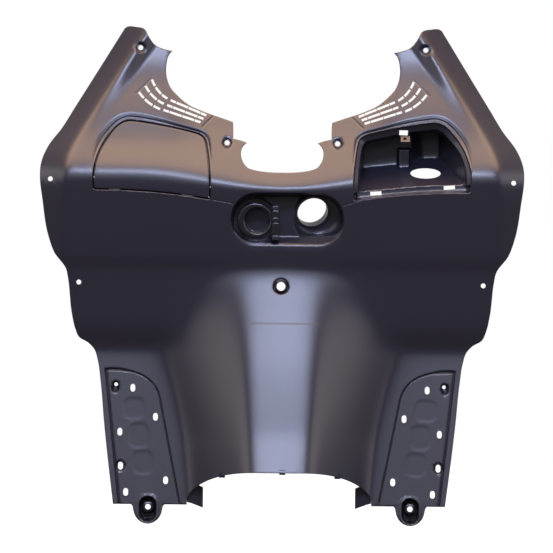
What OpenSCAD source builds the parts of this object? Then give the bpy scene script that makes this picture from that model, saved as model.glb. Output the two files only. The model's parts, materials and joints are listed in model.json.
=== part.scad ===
// Scooter leg shield: the moulded inner panel that stands between the rider's
// knees and the steering column, with two storage bins, one hinged storage lid
// and a folding bag hook. Millimetres. The origin is the centre fixing hole,
// +X is to the right, +Z is up, and the rider sits on the -Y side.

/* [Panel] */
// Width across the side flanges at their widest
panel_w = 486; // [470:1:510]
// Height of the horn tips above the centre fixing hole
horn_top = 259; // [255:1:270]
// Depth of the footboards' lower edge below the centre fixing hole
foot_drop = 219; // [212:1:230]
// Wall thickness of the moulding
wall_t = 2.8; // [2.4:0.1:3.4]

/* [Form of the surface] */
// How far the wall stands behind the hump at the height of the centre hole
wall_back = 11.6; // [9:0.1:15]
// Height of the ridge under the steering column opening
ridge_z = 101; // [98:1:104]
// How much higher the ridge is beside the bins than in the middle
ridge_rise = 16; // [8:1:20]
// Rounding of the ridge
ridge_round = 21; // [12:1:28]
// Forward slope of the hump's front face
hump_slope = 0.375; // [0.32:0.005:0.42]
// Half width of the hump's flat front face at the centre hole
hump_half = 42; // [38:1:48]
// Backward slope of the strip outside the horn crease and the side fold
flange_slope = 0.62; // [0.4:0.01:0.8]
// Distance of the side fold from the middle
fold_x = 220; // [214:1:224]
// Half width of the arch between the footboards
arch_half = 90; // [86:1:94]

/* [Storage bins] */
// Gap between the lid and its opening
lid_gap = 1.2; // [0.8:0.1:1.8]
// Thickness of the lid
lid_t = 2.6; // [2.2:0.1:3]
// Width of the ledge that the lid closes on
ledge_w = 6; // [5:0.5:8]
// Depth of a bin behind the panel's face, at its floor
bin_depth = 66; // [50:1:72]
// Radius of the round hole in the right bin's floor
floor_hole_r = 15.5; // [12:0.5:17]
// Radius of the lid's hinge pins
pin_r = 1.6; // [1.3:0.1:1.8]
// Running clearance of the hinge pins
pin_gap = 0.08; // [0.05:0.01:0.1]

/* [Lock and bag hook recess] */
// Length of the round-ended recess
recess_l = 114; // [110:1:118]
// Width of the round-ended recess
recess_w = 52; // [50:1:54]
// Radius of the ignition lock hole
lock_r = 15.5; // [14:0.5:16]
// Outer radius of the bag hook's ring
hook_r = 17.8; // [16:0.1:18.4]
// Thickness of the ring across its section
hook_bar = 5; // [4:0.1:5.4]

/* [Fixings] */
// Radius of the panel's screw holes
screw_r = 2.5; // [2:0.1:3]
// Radius of the centre fixing hole
centre_r = 4.4; // [4:0.1:5]
// Width of a vent slot
vent_w = 2.8; // [2.2:0.1:3]
// Width of a slot in the mat recess
mat_slot_w = 5; // [4:0.1:6]
// Depth of the mat recess
mat_depth = 2; // [1.5:0.1:2.5]

/* [Hidden] */
$fn = 48;
panel_colour = [0.10, 0.10, 0.11];
steel_colour = [0.6, 0.6, 0.62];
half_w = panel_w / 2;

// Rounded ramp: 0 below zero, t above, with rounding r where it turns
function soft(t, r) = (t + sqrt(t * t + r * r)) / 2;
function soft_max(p, q, r) = q + soft(p - q, r);
function soft_min(p, q, r) = p - soft(p - q, r);
// Smooth step from 0 to 1 as t goes from 0 to 1
function ease(t) = t <= 0 ? 0 : t >= 1 ? 1 : t * t * (3 - 2 * t);
function mix(p, q, t) = p + (q - p) * t;
function mirror_x(points) = [for (p = points) [-p[0], p[1]]];
// Quadratic curve from p through the pull of c to q
function bend(p, c, q, t) = (1 - t) * (1 - t) * p + 2 * t * (1 - t) * c + t * t * q;

// Depth of the face towards the rider, at |x| = a and height z

// Heights where the wall's profile turns, the change of slope, and the rounding
overhang_z = -62;
wall_turns = [
    [overhang_z, 0.79, 5], [overhang_z + 17, -0.47, 12],
    [17, 0.37, 5], [27, -0.30, 6],
];
board_slope = -0.19;
dash_turns = [[ridge_z + 2, -1.04, ridge_round], [150, 0.34, 22], [200, 0.16, 22]];
function turn(z, t) = t[1] * soft(z - t[0], t[2]);
function total(v) = len(v) == 0 ? 0 : v * [for (i = v) 1];
function ridge_lift(a) = ridge_rise * ease(a / 150);
function raw_wall(a, z) =
    board_slope * z + total([for (t = wall_turns) turn(z, t)])
    + total([for (t = dash_turns) turn(z - ridge_lift(a), t)]);
function wall(a, z) = raw_wall(a, z) - raw_wall(0, 0) - wall_back;
function hump(z) = -hump_slope * z;
function hump_edge(z) = hump_half + 0.055 * z;
function flank_slope(z) = 0.32 - 0.005 * min(z, 20);
function flank(a, z) = hump(z) - flank_slope(z) * (a - hump_edge(z));
crease_top = 139;
function crease(z) = soft_min(crease_top + 0.63 * (254 - z), fold_x, 12);
function bevel(a, z) = flange_slope * (soft(a - crease(z), 4) - soft(-60, 4));
// Scoop beside the upper screw, inside the crease
function scoop(a, z) = 6 * ease((z - 165) / 70) * ease((crease(z) - a) / 20);
function face(a, z) =
    soft_max(wall(a, z), soft_min(hump(z), flank(a, z), 7), 7) - bevel(a, z) - scoop(a, z);
// Depth of the wall's thickness along Y where the face is sloped
function slope_x(a, z) = (face(a + 1, z) - face(a - 1, z)) / 2;
function slope_z(a, z) = (face(a, z + 1) - face(a, z - 1)) / 2;
function stretch(a, z) = min(1.9, sqrt(1 + pow(slope_x(a, z), 2) + pow(slope_z(a, z), 2)));
function at_face(x, z, depth) = [x, -face(abs(x), z) + depth * stretch(abs(x), z), z];

// Outline of the panel

// Outer edge: height above the centre hole, and inset from the widest half width
outer_edge = [
    [-foot_drop, 77], [-137, 67], [-96, 63], [-76, 60], [-65, 56.5], [-58, 50],
    [-52.6, 41], [-43.6, 37], [-29, 33.7], [6, 29.7], [14.6, 28], [32.4, 15.5],
    [50, 9.2], [84, 3.5], [109, 0.6], [117, 0.8], [125, 2.4], [137.8, 7.8], [157.4, 22], [175.3, 32.7],
    [horn_top, 83.3],
];
function outer_x(z) = half_w - lookup(z, outer_edge);
// Rows down the steering column opening: inner edge x and z, and the row's height at the outer edge
opening_rows = [
    [138.5, horn_top - 2.5, horn_top], [133.8, 247.6, 249.5], [128.4, 241.4, 243], [111.5, 236, 237],
    [114.5, 233, 231], [117.4, 222, 222], [117, 210, 211], [113, 199, 200], [106, 191, 191],
    [96, 182.5, 183], [80, 175, 175.3], [64, 169.5, 168], [49.7, 164.6, 161], [49.3, 156, 154.5],
    [49.3, 147.6, 147.5], [35.4, 143.7, 141.5], [40.6, 132.4, 134], [37, 125, 127], [31.5, 119, 120.5],
    [21, 115.5, 116.5], [0, 114.2, 112.5],
];
rows_open = len(opening_rows) - 1;
// Heights of the rows below the opening, as they meet the outer edge
plain_rows = [
    106, 99, 90, 80, 70, 60, 50, 41, 32.4, 23, 14.6, 6, -4, -16, -29, -38, -45, -52.6, -58, -62,
    -66, -71, -77, -86, -97, -109, -123, -137, -152, -168, -184, -197, -209, -foot_drop,
];
// Height of the lower edge at |x| = a: the arch in the middle, the footboards at the sides
function arch_rise(a) = a < 25 ? 33.5 : max(0, 33.5 * sqrt(1 - pow((a - 25) / (arch_half - 24), 2)));
function lower_edge(a) = a < arch_half ? -foot_drop + arch_rise(a) : -foot_drop;
warp_z = -120;
function row_z(a, z) = z > warp_z ? z : warp_z + (z - warp_z) * (lower_edge(a) - warp_z) / (-foot_drop - warp_z);

// Columns across half a row: up to the foot of the hump, on to the crease, and over the flange
foot_cols = 8;
wall_cols = 6;
flange_cols = 2;
cols = foot_cols + wall_cols + flange_cols;
function hump_foot(z) = max(92, hump_edge(z) + (hump(z) - wall(92, z)) / flank_slope(z));
function across(inner, z, j) =
    let (outer = outer_x(z), fold = max(min(crease(z), outer - 9), inner + 8),
         middle = inner + min(max(hump_foot(z) - inner, 20), (fold - inner) * 0.55))
    j <= foot_cols ? mix(inner, middle, pow(j / foot_cols, 0.9))
    : j <= foot_cols + wall_cols ? mix(middle, fold, (j - foot_cols) / wall_cols)
    : mix(fold, outer, (j - foot_cols - wall_cols) / flange_cols);
function open_row(row) = [
    for (j = [0 : cols])
        let (x = across(row[0], row[2], j), t = (x - row[0]) / (outer_x(row[2]) - row[0]))
        [x, mix(row[1], row[2], ease(t))]
];
function plain_row(z) = [for (j = [0 : cols]) let (x = across(0, z, j)) [x, row_z(x, z)]];
function backwards(v) = [for (i = [len(v) - 1 : -1 : 0]) v[i]];
// A full row runs from the left edge to the right edge; below the opening its two halves share a point
function full_row(half, joined) =
    concat(mirror_x(backwards(half)), joined ? [for (i = [1 : cols]) half[i]] : half);
full_rows = concat(
    [for (i = [0 : rows_open - 1]) full_row(open_row(opening_rows[i]), false)],
    [full_row(open_row(opening_rows[rows_open]), true)],
    [for (z = plain_rows) full_row(plain_row(z), true)]
);
row_count = len(full_rows);
split_len = 2 * cols + 2;
joined_len = 2 * cols + 1;
function row_start(i) = i <= rows_open ? i * split_len : rows_open * split_len + (i - rows_open) * joined_len;
// Place in the point list of column j, counted along a split row
function spot(i, j) = row_start(i) + (i >= rows_open && j > cols ? j - 1 : j);
sheet_len = row_start(row_count);
function pair(p, q, r, s, flip) = flip ? [[p, q, r], [p, r, s]] : [[p, q, s], [q, r, s]];
function flat(v) = [for (part = v) for (item = part) item];
function strip(p, q, lift) = [[p, q, q + lift], [p, q + lift, p + lift]];
quad_cols = concat([for (j = [0 : cols - 1]) j], [for (j = [cols + 1 : 2 * cols]) j]);

module shell() {
    flat_points = flat(full_rows);
    points = concat(
        [for (p = flat_points) at_face(p[0], p[1], 0)],
        [for (p = flat_points) at_face(p[0], p[1], wall_t)]
    );
    n = sheet_len;
    last = row_count - 1;
    front = flat([for (i = [0 : last - 1]) for (j = quad_cols)
        pair(spot(i, j), spot(i, j + 1), spot(i + 1, j + 1), spot(i + 1, j), j > cols)]);
    back = [for (f = front) [f[2] + n, f[1] + n, f[0] + n]];
    edges = concat(
        flat([for (i = [0 : last - 1]) strip(spot(i + 1, 0), spot(i, 0), n)]),
        flat([for (i = [0 : last - 1]) strip(spot(i, 2 * cols + 1), spot(i + 1, 2 * cols + 1), n)]),
        flat([for (i = [0 : rows_open - 1]) strip(spot(i, cols), spot(i + 1, cols), n)]),
        flat([for (i = [0 : rows_open - 1]) strip(spot(i + 1, cols + 1), spot(i, cols + 1), n)]),
        flat([for (j = quad_cols) strip(spot(0, j), spot(0, j + 1), n)]),
        flat([for (j = quad_cols) strip(spot(last, j + 1), spot(last, j), n)])
    );
    all_faces = concat(front, back, [for (f = edges) [f[0], f[2], f[1]]]);
    polyhedron(points, all_faces, convexity = 10);
}

// Plate that follows the panel's face over a rectangle, from depth d0 to depth d1 behind it.
// With flat_front set, its front is the plane y = flat_front instead.
module face_plate(x0, x1, z0, z1, d0, d1, nx, nz, flat_front = undef) {
    n = (nx + 1) * (nz + 1);
    spots = [for (i = [0 : nz]) for (j = [0 : nx]) [mix(x0, x1, j / nx), mix(z1, z0, i / nz)]];
    points = concat(
        [for (p = spots) flat_front == undef ? at_face(p[0], p[1], d0) : [p[0], flat_front, p[1]]],
        [for (p = spots) at_face(p[0], p[1], d1)]
    );
    w = nx + 1;
    front = flat([for (i = [0 : nz - 1]) for (j = [0 : nx - 1])
        pair(i * w + j, i * w + j + 1, (i + 1) * w + j + 1, (i + 1) * w + j, true)]);
    back = [for (f = front) [f[2] + n, f[1] + n, f[0] + n]];
    edges = concat(
        flat([for (i = [0 : nz - 1]) strip((i + 1) * w, i * w, n)]),
        flat([for (i = [0 : nz - 1]) strip(i * w + nx, (i + 1) * w + nx, n)]),
        flat([for (j = [0 : nx - 1]) strip(j, j + 1, n)]),
        flat([for (j = [0 : nx - 1]) strip(nz * w + j + 1, nz * w + j, n)])
    );
    polyhedron(points, concat(front, back, [for (f = edges) [f[0], f[2], f[1]]]), convexity = 6);
}

// Solid along Y over a flat outline given as |x| and z
module through(outline, y0, y1) {
    translate([0, y1, 0]) rotate([90, 0, 0]) linear_extrude(y1 - y0) polygon(outline);
}
module bore(x, z, r, y0, y1) {
    translate([x, y1, z]) rotate([90, 0, 0]) cylinder(r = r, h = y1 - y0);
}
module both_sides() {
    children();
    mirror([1, 0, 0]) children();
}

// Bin opening and lid. Four corners of the lid, and the pull of each side's curve

lid_low_in = [72.5, 87.2];
lid_low_out = [187.6, 96.2];
lid_top_out = [160, 165.5];
lid_top_in = [78.5, 150.5];
lid_pull = [[125.2, 96.5], [192.7, 132], [120, 162], [72, 122]];
function side_points(p, c, q, t0, t1) = [for (i = [0 : 5]) bend(p, c, q, mix(t0, t1, i / 5))];
function corner_points(p, c, q) = [for (i = [1 : 3]) bend(p, c, q, i / 4)];
lid_bottom = side_points(lid_low_in, lid_pull[0], lid_low_out, 0.02, 0.98);
lid_outer = side_points(lid_low_out, lid_pull[1], lid_top_out, 0.03, 0.86);
lid_top = side_points(lid_top_out, lid_pull[2], lid_top_in, 0.12, 0.90);
lid_inner = side_points(lid_top_in, lid_pull[3], lid_low_in, 0.12, 0.97);
lid_loop = concat(
    lid_bottom, corner_points(lid_bottom[5], lid_low_out, lid_outer[0]),
    lid_outer, corner_points(lid_outer[5], lid_top_out, lid_top[0]),
    lid_top, corner_points(lid_top[5], lid_top_in, lid_inner[0]),
    lid_inner, corner_points(lid_inner[5], lid_low_in, lid_bottom[0])
);
// The loop runs anticlockwise, so its outward normal is the edge direction turned clockwise
function loop_normal(loop, i) =
    let (n = len(loop), e = loop[(i + 1) % n] - loop[(i + n - 1) % n]) [e[1], -e[0]] / norm(e);
function grown(loop, d) = [for (i = [0 : len(loop) - 1]) loop[i] + d * loop_normal(loop, i)];
opening_loop = grown(lid_loop, lid_gap);
window_loop = grown(lid_loop, -ledge_w);
seat_depth = lid_t + 0.5;
ledge_t = wall_t - 0.4;

// Lid hinge: an axis parallel to the lid's lower edge
hinge_up = 11;
hinge_in = 5;
hinge_tilt = atan2(lid_low_out[1] - lid_low_in[1], lid_low_out[0] - lid_low_in[0]);
hinge_x = (lid_low_in[0] + lid_low_out[0]) / 2;
hinge_z = (lid_low_in[1] + lid_low_out[1]) / 2 + hinge_up;
hinge_half = (lid_low_out[0] - lid_low_in[0]) / 2 / cos(hinge_tilt);
hinge_y = hinge_in - face(hinge_x, hinge_z);
trough_r = norm([hinge_up, hinge_in]) + 0.6;
trough_front = hinge_y - 1.8;
boss_wall = 2.4;
pin_engage = 4;
// Places a child made along +X from the hinge's middle
module on_hinge() {
    translate([hinge_x, hinge_y, hinge_z]) rotate([0, -hinge_tilt, 0]) children();
}
module rod(x0, x1, r) {
    translate([x0, 0, 0]) rotate([0, 90, 0]) cylinder(r = r, h = x1 - x0);
}

// Bin behind the opening: its window at the front and its smaller back, both as |x| and z
bin_floor_rise = 26;
bin_front_y = hinge_y + 3;
bin_shelf = 2;
function bin_front(d) = grown(
    [[lid_low_in[0] - lid_gap, lid_low_in[1] + bin_shelf], [lid_low_out[0] + lid_gap, lid_low_out[1] + bin_shelf],
     [lid_low_out[0] + lid_gap - 1, 118], [178, 134], [165, 150], [158, 157.5], [86, 144],
     [lid_low_in[0] + ledge_w, 137], [lid_low_in[0] - lid_gap + 0.5, 112]], d);
function bin_back(d) = grown(
    [[84, 88 + bin_floor_rise], [156, 93 + bin_floor_rise], [162, 125], [160, 148], [150, 153], [88, 142]], d);
module bin_body(d, y_front, y_back) {
    hull() {
        through(bin_front(d), y_front, y_front + 1);
        through(bin_back(d), y_back - 1, y_back);
    }
}
pillar_x = [116.5, 128.5];
deep_pocket = 8;
module bin_hollow() {
    difference() {
        bin_body(0, bin_front_y - 8, bin_depth - deep_pocket);
        through([[pillar_x[0], 100], [pillar_x[1], 100], [pillar_x[1], 141], [pillar_x[0], 141]],
            bin_depth - deep_pocket - 7, bin_depth);
    }
    through([[131, 122], [154, 124], [158, 130], [156, 146], [149, 150.5], [131, 147]],
        bin_depth - deep_pocket - 6, bin_depth);
}

module ledge_block() {
    intersection() {
        face_plate(58, 202, 76, 180, 1.9, seat_depth + ledge_t, 8, 13);
        through(grown(opening_loop, wall_t), -60, 90);
    }
}
module trough_block() {
    intersection() {
        on_hinge() rod(-hinge_half - lid_gap - wall_t, hinge_half + lid_gap + wall_t, trough_r + wall_t);
        translate([0, trough_front, 60]) cube([300, 60, 46.5]);
        through(grown(opening_loop, wall_t), -60, 90);
    }
}
module bin_walls() {
    ledge_block();
    trough_block();
    bin_body(wall_t, bin_front_y, bin_depth + wall_t);
    for (s = [-1, 1]) intersection() {
        on_hinge() rod(s > 0 ? hinge_half + lid_gap : -hinge_half - lid_gap - pin_engage - boss_wall,
            s > 0 ? hinge_half + lid_gap + pin_engage + boss_wall : -hinge_half - lid_gap,
            pin_r + boss_wall);
        translate([60, hinge_y - pin_r - 1, 80]) cube([140, 20, 40]);
    }
}
module bin_cuts() {
    intersection() {
        face_plate(56, 204, 74, 182, 0, seat_depth, 6, 11, -60);
        through(opening_loop, -80, 90);
    }
    intersection() {
        on_hinge() rod(-hinge_half - lid_gap, hinge_half + lid_gap, trough_r);
        through(opening_loop, -60, 90);
    }
    bin_hollow();
    on_hinge() rod(-hinge_half - lid_gap - pin_engage, hinge_half + lid_gap + pin_engage, pin_r + pin_gap);
    for (x = [-38, 36.5]) on_hinge()
        translate([x - 5, 4, -trough_r - wall_t - 2]) cube([10, 5, 8]);
}

// Fixings: |x|, z, radius of the pad behind, radius and depth of the sink in front
screw_spots = [
    [143.4, 238.9, 7.5, 5, 3.5], [55.4, 143.5, 7, 4.6, 3.5],
    [half_w - 11.3, 105.5, 5, 0, 0], [half_w - 40.5, 2.5, 5, 0, 0],
];
pad_h = 6.5;
skin_cover = 1.2;
// Block behind the plane that touches the face at |x|, z, set back by the skin's cover
module behind_face(x, z) {
    across = -slope_x(x, z);
    up = -slope_z(x, z);
    translate([x, -face(x, z) + skin_cover, z])
        rotate([-atan2(up, norm([1, across])), 0, atan(across)])
            translate([-20, 0, -20]) cube([40, 40, 40]);
}
module pads() {
    for (s = screw_spots) {
        y = -face(s[0], s[1]);
        intersection() {
            bore(s[0], s[1], s[2], y - 10, y + s[4] + pad_h);
            behind_face(s[0], s[1]);
        }
    }
}
module screw_cuts() {
    for (s = screw_spots) {
        bore(s[0], s[1], screw_r, -face(s[0], s[1]) - 15, -face(s[0], s[1]) + 20);
        if (s[3] > 0) bore(s[0], s[1], s[3], -face(s[0], s[1]) - 15, -face(s[0], s[1]) + s[4]);
    }
}

// Air vents on the horns: three rows, curved at the outer end and straight at the inner end
vent_rows = 3;
vent_curve = [[130.2, 205.7], [125.3, 192.9], [114.5, 186.6]];
vent_curve_step = [[6.4, -6.45], [4.7, -6], [3.5, -5.4]];
vent_line = [[111.2, 185], [75.1, 170]];
vent_line_step = [[3.5, -5], [2.9, -3.5]];
vent_curve_cuts = [[0, 0.27], [0.33, 0.68], [0.73, 1]];
vent_line_cuts = [[0, 0.15], [0.165, 0.49], [0.505, 0.83], [0.845, 1]];
function vent_pull(i) = [for (k = [0 : 2]) vent_curve[k] + i * vent_curve_step[k]];
function vent_ends(i) = [for (k = [0 : 1]) vent_line[k] + i * vent_line_step[k]];
function turned(v) = [-v[1], v[0]] / norm(v);
function slot_band(middle, dirs, w) = concat(
    [for (i = [0 : len(middle) - 1]) middle[i] + turned(dirs[i]) * w / 2],
    backwards([for (i = [0 : len(middle) - 1]) middle[i] - turned(dirs[i]) * w / 2])
);
function curved_slot(c, t0, t1) =
    let (ts = [for (i = [0 : 2]) mix(t0, t1, i / 2)])
    slot_band([for (t = ts) bend(c[0], c[1], c[2], t)],
        [for (t = ts) (1 - t) * (c[1] - c[0]) + t * (c[2] - c[1])], vent_w);
function straight_slot(e, t0, t1) =
    slot_band([for (t = [t0, t1]) mix(e[0], e[1], t)], [e[1] - e[0], e[1] - e[0]], vent_w);
module vents() {
    for (i = [0 : vent_rows - 1]) {
        for (c = vent_curve_cuts) through(curved_slot(vent_pull(i), c[0], c[1]), 0, 80);
        for (c = vent_line_cuts) through(straight_slot(vent_ends(i), c[0], c[1]), 0, 80);
    }
}

// Recess for the rubber mat on a footboard, with its slots
mat_bottom = -foot_drop - 4;
mat_outer = [[174.8, -84.5], [159.3, mat_bottom]];
mat_inner = [[119.5, -117.6], [98.3, mat_bottom]];
mat_loop = concat([mat_outer[1], mat_outer[0]],
    [for (i = [1 : 7]) bend(mat_outer[0], [124, -83], mat_inner[0], i / 8)], [mat_inner[0], mat_inner[1]]);
mat_slots = [[147.5, -103], [124.5, -131.8], [160, -147], [159, -181], [113.6, -195], [153.4, -207]];
mat_slot_h = 8;
board_x = 140;
module board_slab(d0, d1) {
    translate([0, -face(board_x, -150), -150]) rotate([atan(board_slope), 0, 0])
        translate([60, d0, -90]) cube([130, d1 - d0, 170]);
}
module tray() {
    intersection() {
        board_slab(1, mat_depth + 2.4);
        through([for (p = grown(mat_loop, 2.5)) [p[0], max(p[1], -foot_drop + 0.5)]], -60, 60);
    }
}
module tray_cuts() {
    intersection() {
        board_slab(-20, mat_depth);
        through(mat_loop, -60, 60);
    }
    for (p = mat_slots) translate([p[0], -20, p[1]]) rotate([-90, 0, 0]) linear_extrude(60) {
        square([mat_slot_w, mat_slot_h - mat_slot_w], center = true);
        for (s = [-1, 1]) translate([0, s * (mat_slot_h - mat_slot_w) / 2]) circle(d = mat_slot_w);
    }
}

// Screw cup at the lower edge of a footboard
cup = [131, -foot_drop - 3.5];
cup_w = 16;
cup_h = 25;
cup_deep = 7;
board_y = -face(board_x, cup[1]);
module upright_slot(w, h, y0, y1) {
    translate([cup[0], y1, cup[1]]) rotate([90, 0, 0]) linear_extrude(y1 - y0) {
        square([w, h - w], center = true);
        for (s = [-1, 1]) translate([0, s * (h - w) / 2]) circle(d = w);
    }
}
module cup_block() {
    upright_slot(cup_w + 5.4, cup_h + 6, board_y + 0.6, board_y + cup_deep + wall_t);
}
module cup_cuts() {
    difference() {
        upright_slot(cup_w, cup_h, board_y - 20, board_y + cup_deep);
        bore(cup[0], cup[1] + 1, 5.5, board_y + cup_deep - 3, board_y + cup_deep + 1);
    }
    bore(cup[0], cup[1] + 1, screw_r, board_y - 20, board_y + 30);
}

// Round-ended recess for the bag hook and the ignition lock
recess = [6, 67.5];
recess_floor = 6;
recess_front = 2.4;
hook = [-26.5, 66];
well_r = hook_r + 4.5;
well_floor = recess_floor + 3;
lock = [30.8, 75];
lock_y = 12.5;
lock_normal = [0.2, -0.88, -0.43];
lock_plate_r = lock_r + 2;
lock_sleeve = 4;
lock_sleeve_wall = 2.4;
module recess_slot(grow, y0, y1) {
    translate([recess[0], y1, recess[1]]) rotate([90, 0, 0]) linear_extrude(y1 - y0) {
        square([recess_l - recess_w, recess_w + 2 * grow], center = true);
        for (s = [-1, 1]) translate([s * (recess_l - recess_w) / 2, 0]) circle(d = recess_w + 2 * grow);
    }
}
// Places a child made along +Z so that it points out of the lock hole
module at_lock() {
    tilt = acos(lock_normal[2] / norm(lock_normal));
    swing = atan2(lock_normal[1], lock_normal[0]);
    translate([lock[0], lock_y, lock[1]]) rotate([0, 0, swing]) rotate([0, tilt, 0]) children();
}
module lock_bowl(grow, y_front) {
    hull() {
        bore(recess[0] + (recess_l - recess_w) / 2, recess[1], recess_w / 2 - 0.6 + grow,
            y_front, recess_floor + 1, $fn = 32);
        at_lock() translate([0, 0, -grow]) cylinder(r = lock_plate_r + grow, h = 0.5, $fn = 32);
    }
}
module recess_block() {
    recess_slot(wall_t, recess_front, recess_floor + wall_t);
    bore(hook[0], hook[1], well_r + wall_t, recess_floor, well_floor + wall_t);
    lock_bowl(wall_t, recess_front);
    at_lock() translate([0, 0, -lock_sleeve]) cylinder(r = lock_r + lock_sleeve_wall, h = lock_sleeve);
}
module recess_cuts() {
    recess_slot(0, -40, recess_floor);
    bore(hook[0], hook[1], well_r, recess_floor - 1, well_floor);
    lock_bowl(0, recess_floor - 3);
    at_lock() translate([0, 0, -lock_sleeve - 1]) cylinder(r = lock_r, h = lock_sleeve + 2);
}

// Bag hook: a ring that folds out about an upright pin held by two ears
hook_axis_x = -6;
hook_axis_y = 1.5;
hook_pin_r = 1.5;
ear_low = [46, 51];
ear_high = [76.2, 80.5];
barrel_r = 3.2;
ear_gap = 0.3;
module ears() {
    for (e = [ear_low, ear_high]) {
        translate([hook_axis_x, hook_axis_y, e[0]]) cylinder(r = barrel_r, h = e[1] - e[0]);
        translate([hook_axis_x - barrel_r, hook_axis_y, e[0]])
            cube([2 * barrel_r, recess_floor - hook_axis_y + 1, e[1] - e[0]]);
    }
}

// Hole in the right bin's floor
floor_hole_x = 144;
floor_hole_y = 40;

// Catch tab for the missing right lid, on the ledge over the pillar
tab_x = 124;
tab_w = 13;
tab_z = [144, 156];
tab_y = seat_depth - face(tab_x, tab_z[1]) + 0.4;
module catch_tab() {
    difference() {
        translate([tab_x - tab_w / 2, tab_y, tab_z[0]]) cube([tab_w, ledge_t, tab_z[1] - tab_z[0]]);
        translate([tab_x - 4.5, tab_y - 1, tab_z[1] - 5]) cube([9, ledge_t + 2, 6]);
        translate([tab_x - 2, tab_y - 1, tab_z[0] + 2.5]) cube([4, ledge_t + 2, 2.6]);
    }
}
module right_bin_cuts() {
    translate([tab_x - 4.5, 0, tab_z[1] - 5]) cube([9, 60, 5]);
    translate([floor_hole_x, floor_hole_y, 92]) cylinder(r = floor_hole_r, h = 42);
}

// Centre fixing hole: a flat collar round the bore, which stands in a sunk ring
centre_collar_r = centre_r + 1.7;
centre_front = -0.5;
centre_back = 8.5;
module centre_cuts() {
    difference() {
        bore(0, 0, centre_collar_r + 1.7, -20, 3);
        bore(0, 0, centre_collar_r, centre_front, 3);
    }
    bore(0, 0, centre_r, -20, 20);
}

// Small flanges behind the arch, beside the footboards, and nubs under its edge
module arch_flange() {
    y0 = -face(arch_half + 8, -205) + 0.5;
    through([[77.5, -205], [77.5, -222], [82, -219.5], [arch_half + 8, -216], [arch_half + 8, -192]], y0, y0 + 2.4);
}
nub_x = [-57, 3, 58];
module nubs() {
    for (x = nub_x) {
        z = lower_edge(abs(x));
        translate([x - 3, -face(abs(x), z) + 1.2, z - 1.6]) cube([6, 2, 5]);
    }
}

module leg_shield() {
    color(panel_colour) {
        catch_tab();
        difference() {
            union() {
                difference() {
                    union() {
                        shell();
                        nubs();
                        both_sides() {
                            bin_walls();
                            pads();
                            tray();
                            cup_block();
                            arch_flange();
                        }
                        recess_block();
                        bore(0, 0, centre_collar_r, centre_front, centre_back);
                        intersection() {
                            bore(0, 0, centre_collar_r + 4.4, -10, centre_back);
                            behind_face(0, 0);
                        }
                    }
                    recess_cuts();
                }
                ears();
            }
            both_sides() {
                bin_cuts();
                screw_cuts();
                vents();
                tray_cuts();
                cup_cuts();
            }
            right_bin_cuts();
            centre_cuts();
            translate([hook_axis_x, hook_axis_y, ear_low[0] - 1])
                cylinder(r = hook_pin_r + 0.02, h = ear_high[1] - ear_low[0] + 2);
        }
    }
}

module glovebox_lid() {
    color(panel_colour) mirror([1, 0, 0]) {
        intersection() {
            face_plate(64, 196, 80, 172, 0, lid_t, 8, 14);
            through(lid_loop, -60, 90);
        }
        for (s = [-1, 1]) on_hinge() {
            rod(s * hinge_half - (s > 0 ? 6 : -0.2), s * hinge_half + (s > 0 ? -0.2 : 6), pin_r + boss_wall);
            rod(s * hinge_half - (s > 0 ? 5 : lid_gap + pin_engage - 0.4),
                s * hinge_half + (s > 0 ? lid_gap + pin_engage - 0.4 : 5), pin_r);
        }
    }
}

module bag_hook() {
    color(panel_colour) difference() {
        union() {
            bore(hook[0], hook[1], hook_r, hook_axis_y - hook_bar / 2, hook_axis_y + hook_bar / 2);
            translate([hook[0] + 8, hook_axis_y - hook_bar / 2, ear_low[1] + ear_gap])
                cube([hook_axis_x - hook[0] - 8, hook_bar, ear_high[0] - ear_low[1] - 2 * ear_gap]);
            translate([hook_axis_x, hook_axis_y, ear_low[1] + ear_gap])
                cylinder(r = barrel_r, h = ear_high[0] - ear_low[1] - 2 * ear_gap);
        }
        bore(hook[0], hook[1], hook_r - hook_bar, -10, 20);
        translate([hook_axis_x, hook_axis_y, 40]) cylinder(r = hook_pin_r + pin_gap, h = 50);
    }
}

module hook_pin() {
    color(steel_colour) translate([hook_axis_x, hook_axis_y, ear_low[0]])
        cylinder(r = hook_pin_r, h = ear_high[1] - ear_low[0]);
}

leg_shield();
glovebox_lid();
bag_hook();
hook_pin();
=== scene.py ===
import json
import math
import time
import bpy
import numpy as np
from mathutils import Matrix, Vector, kdtree
from mathutils.geometry import delaunay_2d_cdt


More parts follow.
